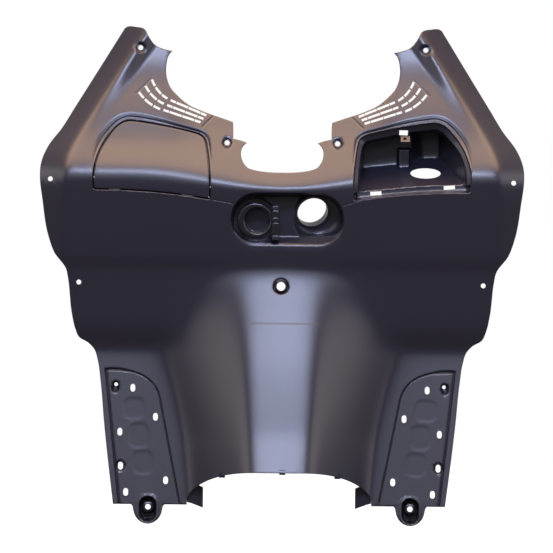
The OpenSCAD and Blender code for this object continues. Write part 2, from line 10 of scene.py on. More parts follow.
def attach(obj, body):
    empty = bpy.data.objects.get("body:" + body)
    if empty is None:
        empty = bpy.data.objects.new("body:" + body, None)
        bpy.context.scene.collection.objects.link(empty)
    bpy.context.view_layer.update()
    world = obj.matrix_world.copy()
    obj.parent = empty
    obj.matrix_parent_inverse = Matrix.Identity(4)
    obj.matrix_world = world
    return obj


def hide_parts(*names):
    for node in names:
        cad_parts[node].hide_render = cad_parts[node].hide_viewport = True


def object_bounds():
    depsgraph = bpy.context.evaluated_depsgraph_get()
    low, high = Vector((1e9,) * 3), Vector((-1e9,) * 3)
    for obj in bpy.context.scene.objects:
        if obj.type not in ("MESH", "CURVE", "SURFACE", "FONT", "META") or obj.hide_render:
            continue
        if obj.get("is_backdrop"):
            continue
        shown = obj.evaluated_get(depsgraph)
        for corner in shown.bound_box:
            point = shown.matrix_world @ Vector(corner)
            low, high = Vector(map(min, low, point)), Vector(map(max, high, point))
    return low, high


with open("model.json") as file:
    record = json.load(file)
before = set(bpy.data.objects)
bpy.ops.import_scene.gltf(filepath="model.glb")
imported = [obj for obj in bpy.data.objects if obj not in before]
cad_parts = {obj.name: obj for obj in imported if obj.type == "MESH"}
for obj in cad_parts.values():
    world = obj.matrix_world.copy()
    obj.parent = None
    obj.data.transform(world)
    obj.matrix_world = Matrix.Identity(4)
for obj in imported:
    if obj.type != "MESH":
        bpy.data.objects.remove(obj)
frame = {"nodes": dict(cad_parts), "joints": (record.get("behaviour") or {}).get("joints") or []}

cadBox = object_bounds()
startTime = time.time()
mm = 0.001


def report(stage):
    print("%6.1f s  %s" % (time.time() - startTime, stage))


# The face of the moulding, as a depth Y over the upright plane of X and Z, in millimetres

faceForm = {
    "halfWidth": 243.0, "footDrop": 219.0, "wall": 2.8, "wallBack": 11.6, "boardSlope": -0.19,
    "lowBends": [(-62.0, 0.79, 5), (-45.0, -0.47, 12), (17, 0.37, 5), (27, -0.30, 6)],  # height, turn, radius
    "ridgeZ": 97.0, "ridgeTurn": -0.93, "ridgeRise": 14.5, "riseWide": 150, "ridgeRound": (3.5, 10.0), "roundWide": 140,
    "dashZ": (152, 138), "dashTurn": (0.12, 0.27), "dashFrom": (60, 60), "topBend": (200, 0.16), "dashRound": 22,
    "humpSlope": 0.375, "humpBends": [(-75, -0.04, 25), (-150, 0.085, 10)], "humpHalf": 42.0, "humpTaper": 0.055,
    "flankSlope": (0.32, 0.005, 20), "humpRound": 7, "flangeSlope": 0.62, "flangeRound": 4,
    "creaseTop": 139.0, "creaseLean": 0.63, "creaseZ": 254, "foldX": 220.0, "foldRound": 12,
    "throat": (6, 165, 70, 20),  # depth, start, height, width
}


def soft(t, r):
    return (t + np.sqrt(t * t + r * r)) / 2


def softMax(p, q, r):
    return q + soft(p - q, r)


def softMin(p, q, r):
    return p - soft(p - q, r)


def ease(t):
    t = np.clip(t, 0, 1)
    return t * t * (3 - 2 * t)


def mix(p, q, t):
    return p + (q - p) * t


def rawWall(a, z):
    f = faceForm
    s = f["boardSlope"] * z
    for z0, turn, r in f["lowBends"]:
        s = s + turn * soft(z - z0, r)
    lifted = z - f["ridgeRise"] * ease(a / f["riseWide"])
    out = ease((a - f["dashFrom"][0]) / f["dashFrom"][1])
    ridge = (f["ridgeZ"], f["ridgeTurn"], mix(*f["ridgeRound"], ease(a / f["roundWide"])))
    dash = (mix(*f["dashZ"], out), mix(*f["dashTurn"], out), f["dashRound"])
    for z0, turn, r in (ridge, dash, (*f["topBend"], f["dashRound"])):
        s = s + turn * soft(lifted - z0, r)
    return s


wallShift = -float(rawWall(np.zeros(1), np.zeros(1))[0]) - faceForm["wallBack"]


def crease(z):
    f = faceForm
    return softMin(f["creaseTop"] + f["creaseLean"] * (f["creaseZ"] - z), f["foldX"] + 0 * z, f["foldRound"])


# Y of the smooth face, larger towards the back
def plainDepth(x, z):
    f = faceForm
    a = np.abs(x)
    hump = -f["humpSlope"] * z
    for z0, turn, r in f["humpBends"]:
        hump = hump + turn * soft(z0 - z, r)
    steep, change, highest = f["flankSlope"]
    flank = hump - (steep - change * np.minimum(z, highest)) * (a - f["humpHalf"] - f["humpTaper"] * z)
    s = softMax(rawWall(a, z) + wallShift, softMin(hump, flank, f["humpRound"]), f["humpRound"])
    s = s - f["flangeSlope"] * (soft(a - crease(z), f["flangeRound"]) - soft(-60.0, f["flangeRound"]))
    deep, start, high, wide = f["throat"]
    return deep * ease((z - start) / high) * ease((crease(z) - a) / wide) - s


def depthAt(x, z):
    return float(plainDepth(np.array([x]), np.array([z]))[0])


# Outlines in the upright plane

def smoothRun(points, step):
    p = np.array(points, float)
    d = np.hypot(*np.diff(p, axis=0).T)
    k = np.diff(p, axis=0) / d[:, None]
    t = np.vstack([k[:1], k])
    if len(p) > 2:
        t[1:-1] = (k[:-1] * d[1:, None] + k[1:] * d[:-1, None]) / (d[:-1] + d[1:])[:, None]
        t[0], t[-1] = 1.5 * k[0] - 0.5 * t[1], 1.5 * k[-1] - 0.5 * t[-2]
    parts = [p[:1]]
    for i, length in enumerate(d):
        s = np.linspace(0, 1, max(1, int(round(length / step))) + 1)[1:, None]
        parts.append((1 + 2 * s) * (1 - s) ** 2 * p[i] + s * (1 - s) ** 2 * length * t[i]
                     + s * s * (3 - 2 * s) * p[i + 1] + s * s * (s - 1) * length * t[i + 1])
    return np.concatenate(parts)


def joined(runs, step):
    return np.concatenate([smoothRun(run, step)[:-1] for run in runs])


def mirrored(loop):
    return (loop * (-1, 1))[::-1]


def bend(p, c, q, t):
    t = np.asarray(t)[:, None]
    return (1 - t) ** 2 * np.array(p) + 2 * t * (1 - t) * np.array(c) + t * t * np.array(q)


def outward(loop):
    e = np.roll(loop, -1, 0) - np.roll(loop, 1, 0)
    return np.column_stack([e[:, 1], -e[:, 0]]) / np.hypot(*e.T)[:, None]


def grown(loop, d):
    return loop + d * outward(loop)


def oval(x, z, rx, rz=None, n=24):
    t = np.arange(n) * 2 * math.pi / n
    return np.column_stack([x + rx * np.cos(t), z + (rz or rx) * np.sin(t)])


# Round-ended slot, with its straight part along X or Z
def obround(x, z, width, height, n=8):
    r = min(width, height) / 2
    t = np.linspace(-math.pi / 2, math.pi / 2, n)
    end = np.column_stack([r * np.cos(t), r * np.sin(t)])
    if width >= height:
        half = end + (width / 2 - r, 0)
        return np.concatenate([half, -half]) + (x, z)
    half = np.column_stack([r * np.cos(t + math.pi / 2), r * np.sin(t + math.pi / 2)]) + (0, height / 2 - r)
    return np.concatenate([half, -half]) + (x, z)


# Distance to a closed loop, positive inside and never under -reach
def inside(loop, x, z, reach=12.0):
    out = np.full(x.shape, -float(reach))
    near = ((x > loop[:, 0].min() - reach) & (x < loop[:, 0].max() + reach)
            & (z > loop[:, 1].min() - reach) & (z < loop[:, 1].max() + reach))
    px, pz = x[near], z[near]
    best = np.full(px.shape, 1e9)
    odd = np.zeros(px.shape, bool)
    for (x0, z0), (x1, z1) in zip(loop, np.roll(loop, -1, 0)):
        dx, dz = x1 - x0, z1 - z0
        t = np.clip(((px - x0) * dx + (pz - z0) * dz) / (dx * dx + dz * dz), 0, 1)
        best = np.minimum(best, (px - x0 - t * dx) ** 2 + (pz - z0 - t * dz) ** 2)
        if dz:
            odd ^= ((z0 > pz) != (z1 > pz)) & (px < x0 + (pz - z0) / dz * dx)
    d = np.sqrt(best)
    out[near] = np.where(odd, d, -d)
    return np.maximum(out, -reach)


edgeForm = {
    "outer": [(-219, 77), (-137, 67), (-96, 63), (-76, 60), (-65, 56.5), (-58, 50), (-52.6, 41), (-43.6, 37),
              (-29, 33.7), (6, 29.7), (14.6, 28), (32.4, 15.5), (50, 9.2), (84, 3.5), (109, 0.6), (117, 0.8),
              (125, 2.4), (137.8, 7.8), (157.4, 22), (175.3, 32.7), (259, 83.3)],  # height, inset
    "horn": [(138.5, 256.5), (133.8, 247.6), (128.4, 241.4), (120.5, 238), (111.5, 236)],
    "throat": [(111.5, 236), (114.5, 232.5), (117.4, 222), (117, 210), (113, 199), (106, 191), (96, 182.5), (80, 175),
               (64, 169.5), (49.7, 164.6)],
    "notch": [(49.7, 164.6), (49.3, 156), (49.3, 147.6)],
    "nib": [(49.3, 147.6), (42, 146), (35.4, 143.7)],
    "collar": [(35.4, 143.7), (39.5, 139.7), (41.2, 135), (40, 126), (34.5, 118.5), (27, 116), (14.5, 114.2),
               (0, 113.8)],
    "tip": [(157, 260.5), (148, 260), (141, 258.6), (138.5, 256.5)],
    "archRise": 33.5, "archFlat": 25.0, "archEnd": 93.0, "archFoot": (92.2, -219),
    "archAt": (0, 12, 25, 35, 45, 55, 64, 72, 78, 83, 87, 90, 92),
    "tab": (131.2, -222.5, 14.6, 15.8), "tabFrom": 1.04, "tabFillet": [(2.2, -219), (0.6, -220.8)],
    "step": 3.0, "round": 0.8,
}


# Height of the wheel arch's edge
def archHeight(a):
    f = edgeForm
    t = max(a - f["archFlat"], 0) / (f["archEnd"] - f["archFlat"])
    return -faceForm["footDrop"] + f["archRise"] * math.sqrt(max(0, 1 - t ** 2))


def panelOutline():
    f = edgeForm
    x0, z0, rx, rz = f["tab"]
    arch = [(a, archHeight(a)) for a in f["archAt"]]
    turns = np.linspace(f["tabFrom"], 3 - f["tabFrom"], 13) * math.pi
    tab = [(x0 + rx * math.cos(t), z0 + rz * math.sin(t)) for t in turns]
    near = [(x0 - rx - d, z) for d, z in f["tabFillet"]] + tab[:1]
    far = tab[-1:] + [(x0 + rx + d, z) for d, z in f["tabFillet"][::-1]]
    outer = [(faceForm["halfWidth"] - inset, z) for z, inset in f["outer"]]
    foot = f["archFoot"]
    runs = [arch, [arch[-1], foot], [foot, near[0]], near, tab, far, [far[-1], outer[0]], outer[:-1], outer[-2:],
            outer[-1:] + f["tip"], f["horn"], f["throat"], f["notch"], f["nib"], f["collar"]]
    half = joined(runs, f["step"])
    full = np.concatenate([half, [(0, f["collar"][-1][1])], mirrored(half)])
    keep = np.hypot(*(full - np.roll(full, 1, 0)).T) > 0.05
    return full[keep]


outline = panelOutline()

lidForm = {
    "lowIn": (72.5, 87.2), "lowOut": (187.6, 96.2), "topOut": (160, 165.5), "topIn": (78.5, 150.5),
    "pulls": [(125.2, 96.5), (192.7, 132), (120, 162), (72, 122)],
    "trims": [(0.02, 0.98), (0.03, 0.86), (0.12, 0.90), (0.12, 0.97)],
    "gap": 1.2, "topGap": 0.6, "topFrom": (146, 8), "thick": 2.6, "slack": 0.9, "edge": 1.1, "backSlack": 0.5,
    "sunk": 2.5, "sunkFrom": (112, 36), "band": (5.0, 9.0), "bandFrom": (120, 30), "bandSide": (90, 60),
    "surround": (0.62, 0.46, 0.16), "wallSteep": 8.0,
}


# From 0 to 1 over a span, given as its start and its length
def along(v, span):
    return ease((v - span[0]) / span[1])


def lidLoop(n=24, corner=8):
    c = [lidForm[k] for k in ("lowIn", "lowOut", "topOut", "topIn")]
    sides = [bend(c[i], lidForm["pulls"][i], c[(i + 1) % 4], np.linspace(*lidForm["trims"][i], n)) for i in range(4)]
    parts = []
    for i in range(4):
        turn = bend(sides[i][-1], c[(i + 1) % 4], sides[(i + 1) % 4][0], np.arange(1, corner) / corner)
        parts += [sides[i], turn]
    return np.concatenate(parts)


lidEdge = lidLoop()
lidGap = mix(lidForm["gap"], lidForm["topGap"], along(lidEdge[:, 1], lidForm["topFrom"]))
openingEdge = lidEdge + outward(lidEdge) * lidGap[:, None]

hingeForm = {
    "up": 11.0, "in": 5.0, "slack": 0.6, "slotWide": 11.2, "slotHigh": 3.8, "slots": [(94.1, 94.0), (167.6, 100.5)],
}
hingeTilt = math.atan2(lidForm["lowOut"][1] - lidForm["lowIn"][1], lidForm["lowOut"][0] - lidForm["lowIn"][0])
hingeX = (lidForm["lowIn"][0] + lidForm["lowOut"][0]) / 2
hingeZ = (lidForm["lowIn"][1] + lidForm["lowOut"][1]) / 2 + hingeForm["up"]
hingeY = frame["joints"][0]["pos_m"][1] / mm
hingeHalf = (lidForm["lowOut"][0] - lidForm["lowIn"][0]) / 2 / math.cos(hingeTilt)
troughR = math.hypot(hingeForm["up"], hingeForm["in"]) + hingeForm["slack"]


def sunkBy(z):
    return lidForm["sunk"] * along(z, lidForm["sunkFrom"])


binForm = {
    "floorStart": 86.0, "floorTilt": 0.115, "floorEdge": 71, "floorFlat": 94.6, "floorRise": 0.5, "steep": 12.0,
    "mouth": (4.8, 1.5), "mouthFrom": (135, 15), "rightEnd": 190.0, "rightLean": 2.27, "front": -7.15, "back": 58.0,
    "pocket": 66.0, "pocketFrom": (128, 3), "bulge": (10, 128.5, 16), "pillar": (116.5, 128.5, 51.0), "pillarEdge": 1.2,
    "pillarTop": 141.0, "slant": 1.0, "sideWide": 4.6, "sideLean": 0.04, "sideZ": 90, "troughTop": -4.5,
    "hole": (144.0, 114.8, 15.2, 5.3), "notch": (121.6, 155.4, 8.8, 4.6),
}


def mouthWide(z):
    return binForm["mouth"][0] + binForm["mouth"][1] * along(z, binForm["mouthFrom"])


def binDepth(a, z, ledge, d):
    f = binForm
    sill = softMin(f["floorStart"] + f["floorTilt"] * (a - f["floorEdge"]), f["floorFlat"] + 0 * a, 3)
    floor = (z - sill) / f["floorRise"]
    bulge, start, wide = f["bulge"]
    pocket = f["pocket"] - bulge * (1 - np.clip((a - start) / wide, 0, 1)) ** 2
    back = mix(f["back"] + 0 * a, pocket, along(a, f["pocketFrom"])) - f["front"]
    back = softMin(back, (f["rightEnd"] - a) * f["rightLean"], 4)
    x0, x1, y = f["pillar"]
    e = f["pillarEdge"]
    post = np.minimum(ease((a - x0 + e) / (2 * e)), ease((x1 + e - a) / (2 * e))) * ease((f["pillarTop"] - z) / 3)
    back = mix(back, y - f["front"], post)
    sides = ledge - f["front"] + f["steep"] * (d - mouthWide(z))
    return f["front"] + softMin(softMin(floor, back, 3.0), sides, 2)


def bandWide(a, z):
    return mix(*lidForm["band"], along(z, lidForm["bandFrom"]) * along(a, lidForm["bandSide"]))


def openingDepth(x, z, y):
    f = lidForm
    a = np.abs(x)
    d = inside(openingEdge, a, z, 12)
    band = bandWide(a, z)
    t = (band + d) / band
    wide, start, narrow = f["surround"]
    y = y + sunkBy(z) * (0.5 * ease(t / wide) + 0.5 * ease((t - start) / narrow))
    ledge = y + (f["thick"] + f["slack"]) + np.where(x > 0, binForm["slant"] * np.maximum(d, 0), 0)
    off = (z - hingeZ) * math.cos(hingeTilt) - (a - hingeX) * math.sin(hingeTilt)
    trough = hingeY + troughR * np.maximum(1 - (off / troughR) ** 4, 0) ** 0.25 - 99 * (np.abs(off) > troughR)
    left = a - f["lowIn"][0] - binForm["sideLean"] * (z - binForm["sideZ"])
    side = np.minimum(left, f["lowOut"][0] - a) - binForm["sideWide"]
    shut = ((side < 0) & (off > binForm["troughTop"])) | (off > 0)  # only the open bin shows its trough's ends
    trough = np.where((x > 0) & shut, -99.0, trough)
    floor = softMax(ledge, np.maximum(trough, binDepth(a, z, ledge, d)), 0.7)
    return np.where(d > -1.5, softMax(y, softMin(y + d * f["wallSteep"], floor, 0.6), 0.35), y)


recessForm = {
    "x": 6.0, "z": 67.5, "long": 114.0, "high": 52.0, "floor": 11.2, "steep": 6.0, "lowSlope": 1.5, "bead": 0.8,
    "well": (-26.5, 66.0, 22.3, 13.2), "cup": (-25.0, 66.0, 12.0, 16.0),
    "bowl": (37.0, 67.5, 25.4), "plate": (30.8, 75.0, 17.3, 13.5), "normal": (0.2, -0.88, -0.43),
    "lockR": 15.5, "sleeve": 8.5, "sleeveWall": 2.2, "lowEdge": (50, 11), "rim": (3.2, 0.4), "rimFrom": (50, 20),
}
recessEdge = obround(recessForm["x"], recessForm["z"], recessForm["long"], recessForm["high"], 22)


def plateDepth(x, z):
    px, pz, r, y = recessForm["plate"]
    nx, ny, nz = recessForm["normal"]
    return y + (nx * (x - px) + nz * (z - pz)) / -ny


def recessDepth(x, z, y):
    f = recessForm
    d = inside(recessEdge, x, z, 9)
    steep = mix(f["lowSlope"], f["steep"], along(z, f["lowEdge"]))
    deep = softMin(y + d * steep, f["floor"] + 0 * y, 0.8)
    away = np.hypot(x - f["well"][0], z - f["well"][1]) - f["well"][2] - 0.5
    deep = deep - f["bead"] * np.exp(-(away / 0.7) ** 2)
    for cx, cz, r, floor in (f["well"], f["cup"]):
        away = r - np.hypot(x - cx, z - cz)
        deep = np.where(away > -2, softMax(deep, softMin(deep + away * 6, floor + 0 * y, 0.6), 0.3), deep)
    cx, cz, r = f["bowl"]
    px, pz, pr, py = f["plate"]
    away = r - np.hypot(x - cx, z - cz)
    flat = plateDepth(x, z)
    span = np.sqrt((x - px) ** 2 + (z - pz) ** 2 + (flat - py) ** 2)
    gap = np.maximum(span - pr, 0)
    t = np.clip(away / np.maximum(away + gap, 1e-6), 0, 1)
    bowl = np.maximum(mix(f["floor"], flat, 1 - (1 - t) ** 1.7), f["floor"])
    deep = np.where(away > 0, np.maximum(deep, softMin(y + d * steep, bowl, 0.8)), deep)
    return mix(y, softMax(y, deep, mix(*f["rim"], along(z, f["rimFrom"]))), ease((d + 7) / 4))


fixForm = {
    "screws": [(143.4, 238.9, 5.0, 3.5), (55.4, 143.5, 4.6, 3.5), (231.7, 105.5, 3.4, 0.5), (202.5, 2.5, 3.4, 0.5)],
    "pads": [(143.4, 238.9, 7.5, 10.0), (55.4, 143.5, 7.0, 10.0), (231.7, 105.5, 5.0, 6.5), (202.5, 2.5, 5.0, 6.5)],
    "screwR": 2.5, "footScrew": (131, -221.5, 2.8), "centreR": 4.4, "collarR": 6.1, "collarFront": -0.5,
    "collarPad": 4.4, "collarBack": 8.5, "ringR": 7.8, "ringDepth": 3.0,
}


def sink(x, z, y, cx, cz, r, depth, soften=0.35):
    away = r - np.hypot(x - cx, z - cz)
    return np.where(away > -1.5, y + softMin(soft(away, soften) * 5, depth + 0 * y, 0.5), y)


matForm = {
    "outer": [(156.3, -250), (174.8, -84.5)], "inner": [(119.5, -117.6), (92.9, -250)], "pull": (124, -83),
    "depth": 0.5, "groove": 2.2, "grooveWide": (0.6, 1.0), "slotWide": 4.9, "slotHigh": 7.8,
    "slots": [(147.5, -103), (124.5, -131.8), (160, -147), (159, -181), (113.6, -195), (153.4, -207)],
    "pads": [(146.0, -123.5, 23.0, 23.0), (141.0, -150.5, 21.0, 26.0), (136.5, -177.5, 22.0, 25.0)],
    "padDeep": 0.2, "padRound": 8.0, "wideFrom": (140, 0.15, -150, 14),
    "cup": (131.2, -223.8, 17.0, 25.4, 11.0), "cupBoss": (131.0, -221.5, 5.6, 8.6),
    "wells": [(165.0, -102.0, 8.4, 11.4, 8.0), (159.2, -180.8, 9.4, 10.6, 7.0)], "wellHole": (164.4, -99.6, 1.9),
}


def matLoop():
    f = matForm
    low, high = f["outer"]
    turn = bend(high, f["pull"], f["inner"][0], np.linspace(0, 1, 26))
    side = smoothRun([low, high], 4)[:-1]
    back = smoothRun(f["inner"], 4)[1:]
    return np.concatenate([side, turn, back, smoothRun([f["inner"][1], low], 5)[1:-1]])


matEdge = matLoop()
cupEdge = obround(*matForm["cup"][:4], 9)
boardEdge = depthAt(140, -222.5)


def boardDepth(a, z, y):
    f = matForm
    d = inside(matEdge, a, z, 8)
    x0, lean, z0, span = f["wideFrom"]
    wide = mix(*f["grooveWide"], ease((a - x0 - lean * (z - z0)) / span))
    y = y + f["depth"] * ease((d + 0.5) / 1.4) + f["groove"] * np.exp(-(d / wide) ** 2)
    for cx, cz, w, h in f["pads"]:
        u, v = np.abs(a - cx) - w / 2 + f["padRound"], np.abs(z - cz) - h / 2 + f["padRound"]
        away = f["padRound"] - np.hypot(np.maximum(u, 0), np.maximum(v, 0)) - np.minimum(np.maximum(u, v), 0)
        y = y + f["padDeep"] * ease((away + 1) / 4)
    for cx, cz, w, h, deep in f["wells"]:
        away = inside(obround(cx, cz, w, h, 7), a, z, 2)
        y = np.where(away > -1, y + softMin(soft(away, 0.3) * 4, deep + 0 * y, 0.4), y)
    d = inside(cupEdge, a, z, 6)
    cup = softMin(y + d * 9, boardEdge + f["cup"][4] + 0 * y, 4)
    bx, bz, r, high = f["cupBoss"]
    away = r - np.hypot(a - bx, z - bz)
    cup = cup - high * ease(away / 0.9 + 0.5)
    y = y - 0.9 * ease((d + 3.6) / 2.4) * ease((0.4 - d) / 0.8)
    return np.where(d > -1.2, softMax(y, cup, 0.4), y)


detailForm = {
    "parting": (-36.0, -34.0, 42.0, 0.35),
    "creases": [[(-69.5, 86.0), (-48.5, 82.6)], [(59.0, 80.2), (79.5, 87.0)]],
    "frames": [[(131.2, 209.0), (147.3, 192.6)], [(69.0, 170.6), (80.3, 159.4)]],
}


def lineGroove(x, z, p, q, wide, depth):
    dx, dz = q[0] - p[0], q[1] - p[1]
    t = np.clip(((x - p[0]) * dx + (z - p[1]) * dz) / (dx * dx + dz * dz), 0, 1)
    away = np.hypot(x - p[0] - t * dx, z - p[1] - t * dz)
    return depth * np.exp(-(away / wide) ** 2)


# Y of the panel's front with all that is moulded into it
def frontDepth(x, z, rounded=True):
    a = np.abs(x)
    y = plainDepth(x, z)
    y = openingDepth(x, z, y)
    y = recessDepth(x, z, y)
    y = boardDepth(a, z, y)
    for cx, cz, r, depth in fixForm["screws"]:
        y = sink(a, z, y, cx, cz, r, depth)
    f = fixForm
    r = np.hypot(x, z)
    y = np.where(r < 9.5, y + softMin(soft(f["ringR"] - r, 0.3) * 4, f["ringDepth"] - y, 0.4), y)
    y = np.where(r < f["collarR"] + 1, mix(y, f["collarFront"] + 0 * y, ease((f["collarR"] + 0.3 - r) / 0.6)), y)
    zp, x0, x1, deep = detailForm["parting"]
    y = y + lineGroove(x, z, (x0, zp), (x1, zp), 0.7, deep)
    for p, q in detailForm["frames"]:
        y = y + lineGroove(a, z, p, q, 0.8, 0.5)
    for p, q in detailForm["creases"]:
        y = y + lineGroove(x, z, p, q, 0.6, 0.45)
    if rounded:
        e = np.clip(edgeForm["round"] - inside(outline, x, z, 3), 0, 0.9 * edgeForm["round"])
        y = y + edgeForm["round"] - np.sqrt(np.maximum(edgeForm["round"] ** 2 - e ** 2, 0))
    return y


# Y of the panel's back: its front moved back by the wall, at right angles to itself
def backDepth(x, z):
    wall = faceForm["wall"]
    y = frontDepth(x, z, False) + wall
    for ring, count in ((0.5, 6), (0.86, 10)):
        for i in range(count):
            t = 2 * math.pi * i / count
            moved = frontDepth(x + ring * wall * math.cos(t), z + ring * wall * math.sin(t), False)
            y = np.maximum(y, moved + wall * math.sqrt(1 - ring * ring))
    for cx, cz, r, high in fixForm["pads"]:
        away = r - np.hypot(np.abs(x) - cx, z - cz)
        y = np.maximum(y, depthAt(cx, cz) + high - 8 * soft(-away, 0.1))
    away = fixForm["collarR"] + fixForm["collarPad"] - np.hypot(x, z)
    return np.maximum(y, fixForm["collarBack"] - 8 * soft(-away, 0.1))


# A closed skin from a front and a back over the same outline and holes

def hexGrid(x0, x1, z0, z1, s):
    rows = []
    for i, z in enumerate(np.arange(z0, z1, s * 0.866)):
        x = np.arange(x0 + (i % 2) * s / 2, x1, s)
        rows.append(np.column_stack([x, np.full(len(x), z)]))
    return np.concatenate(rows)


def scatter(edge, holes, loops, zones):
    fixed = np.concatenate([edge] + holes + loops)
    tree = kdtree.KDTree(len(fixed))
    for i, (x, z) in enumerate(fixed):
        tree.insert((x, z, 0), i)
    tree.balance()
    rim = grown(edge, -1.1)
    kept = [rim[inside(edge, rim[:, 0], rim[:, 1], 2) > 0.8]]
    kept[0] = kept[0][np.array([tree.find((x, z, 0))[2] > 0.7 for x, z in kept[0]], bool)]
    taken = []
    for (x0, x1, z0, z1), s in zones:
        g = hexGrid(x0, x1, z0, z1, s)
        ok = inside(edge, g[:, 0], g[:, 1], 2) > 0.3 * s
        for bx0, bx1, bz0, bz1 in taken:
            across = (g[:, 0] > bx0 - s / 2) & (g[:, 0] < bx1 + s / 2)
            ok &= ~(across & (g[:, 1] > bz0 - s / 2) & (g[:, 1] < bz1 + s / 2))
        taken.append((x0, x1, z0, z1))
        g = g[ok]
        ok = np.array([tree.find((x, z, 0))[2] > 0.48 * s for x, z in g], bool)
        kept.append(g[ok])
    return np.concatenate(kept)


def triangles(edge, holes, loops, zones):
    rings = [edge] + holes + loops
    grid = scatter(edge, holes, loops, zones)
    points, edges, start = [], [], 0
    for ring in rings:
        n = len(ring)
        points += [Vector(p) for p in ring]
        edges += [(start + i, start + (i + 1) % n) for i in range(n)]
        start += n
    points += [Vector(p) for p in grid]
    out, _, tris, origins, _, _ = delaunay_2d_cdt(points, edges, [], 0, 1e-4, True)
    xz = np.array([tuple(p) for p in out])
    tris = np.array([t for t in tris if len(t) == 3])
    mid = xz[tris].mean(axis=1)
    keep = inside(edge, mid[:, 0], mid[:, 1], 1) > 0
    for hole in holes:
        keep &= inside(hole, mid[:, 0], mid[:, 1], 1) <= 0
    place = {}
    for i, group in enumerate(origins):
        for o in group:
            place[o] = i
    ringIds, start = [], 0
    for ring in [edge] + holes:
        ringIds.append([place[start + i] for i in range(len(ring))])
        start += len(ring)
    return xz, tris[keep], ringIds


def gradient(form, x, z, e=0.3):
    return (form(x + e, z) - form(x - e, z)) / (2 * e), (form(x, z + e) - form(x, z - e)) / (2 * e)


def skin(name, material, edge, holes, front, back, frontSet, backSet):
    faces, normals, points, ringsAt = [], [], [], []
    start = 0
    for form, (loops, zones), sign in ((front, frontSet, 1), (back, backSet, -1)):
        xz, tris, rings = triangles(edge, holes, loops, zones)
        used = np.unique(tris)
        renumber = np.full(len(xz), -1)
        renumber[used] = np.arange(len(used))
        x, z = xz[used].T
        points.append(np.column_stack([x, form(x, z), z]))
        gx, gz = gradient(form, x, z)
        n = np.column_stack([gx, -np.ones_like(gx), gz]) * sign
        n /= np.linalg.norm(n, axis=1)[:, None]
        tris = renumber[tris]
        tris = tris if sign > 0 else tris[:, ::-1]
        faces.append(tris + start)
        normals.append(n[tris].reshape(-1, 3))
        ringsAt.append([[start + renumber[i] for i in ring] for ring in rings])
        start += len(used)
    verts = np.concatenate(points) * mm
    quads = []
    for i, (f, b) in enumerate(zip(*ringsAt)):
        ring = f if i == 0 else f[::-1]
        backRing = b if i == 0 else b[::-1]
        for j in range(len(ring)):
            k = (j + 1) % len(ring)
            quads.append((ring[k], ring[j], backRing[j], backRing[k]))
    tris = np.concatenate(faces)
    mesh = bpy.data.meshes.new(name)
    mesh.from_pydata([tuple(v) for v in verts], [], [tuple(int(i) for i in t) for t in tris] + quads)
    mesh.polygons.foreach_set("use_smooth", np.ones(len(mesh.polygons), bool))
    q = verts[np.array(quads)]
    side = np.cross(q[:, 2] - q[:, 0], q[:, 3] - q[:, 1])
    side /= np.maximum(np.linalg.norm(side, axis=1), 1e-12)[:, None]
    allNormals = np.concatenate(normals + [np.repeat(side, 4, axis=0)])
    mesh.normals_split_custom_set([tuple(n) for n in allNormals])
    obj = bpy.data.objects.new(name, mesh)
    bpy.context.scene.collection.objects.link(obj)
    mesh.materials.append(material)
    return obj


def meshPiece(name, verts, faces, material, smooth=True):
    mesh = bpy.data.meshes.new(name)
    mesh.from_pydata([tuple(float(c) * mm for c in v) for v in verts], [], [tuple(int(i) for i in f) for f in faces])
    mesh.validate()
    mesh.polygons.foreach_set("use_smooth", np.full(len(mesh.polygons), smooth))
    mesh.set_sharp_from_angle(angle=math.radians(35))
    mesh.materials.append(material)
    obj = bpy.data.objects.new(name, mesh)
    bpy.context.scene.collection.objects.link(obj)
    return obj


# Round piece from a profile of (radius, height) pairs, turned about an axis through base
def turned(profile, base, axis, n=40):
    axis = Vector(axis).normalized()
    u = axis.orthogonal().normalized()
    v = axis.cross(u)
    verts, faces = [], []
    for r, h in profile:
        for i in range(n):
            t = 2 * math.pi * i / n
            verts.append(Vector(base) + axis * h + (u * math.cos(t) + v * math.sin(t)) * r)
    m = len(profile)
    for j in range(m - 1):
        for i in range(n):
            k = (i + 1) % n
            faces.append((j * n + i, j * n + k, (j + 1) * n + k, (j + 1) * n + i))
    faces.append(tuple(reversed(range(n))))
    faces.append(tuple((m - 1) * n + i for i in range(n)))
    return verts, faces


def rodProfile(r, h, edge=0.4):
    low = [(r - edge, 0), (r - 0.3 * edge, 0.3 * edge), (r, edge)]
    return low + [(r, h - edge), (r - 0.3 * edge, h - 0.3 * edge), (r - edge, h)]


def boxPiece(lo, hi):
    x, y, z = zip(lo, hi)
    verts = [(x[i], y[j], z[k]) for i in (0, 1) for j in (0, 1) for k in (0, 1)]
    return verts, [(0, 1, 3, 2), (4, 6, 7, 5), (0, 4, 5, 1), (2, 3, 7, 6), (0, 2, 6, 4), (1, 5, 7, 3)]


def merged(parts):
    verts, faces = [], []
    for v, f in parts:
        faces += [tuple(i + len(verts) for i in face) for face in f]
        verts += list(v)
    return verts, faces


# Materials

# An input that takes a value or another node's output
def feed(tree, socket, value):
    if isinstance(value, bpy.types.NodeSocket):
        tree.links.new(value, socket)
    else:
        socket.default_value = value


def addNode(tree, kind, **inputs):
    n = tree.nodes.new(kind)
    for k, v in inputs.items():
        feed(tree, n.inputs[k.replace("_", " ")], v)
    return n


def mathNode(tree, operation, *values):
    n = tree.nodes.new("ShaderNodeMath")
    n.operation = operation
    for i, v in enumerate(values):
        feed(tree, n.inputs[i], v)
    return n.outputs[0]


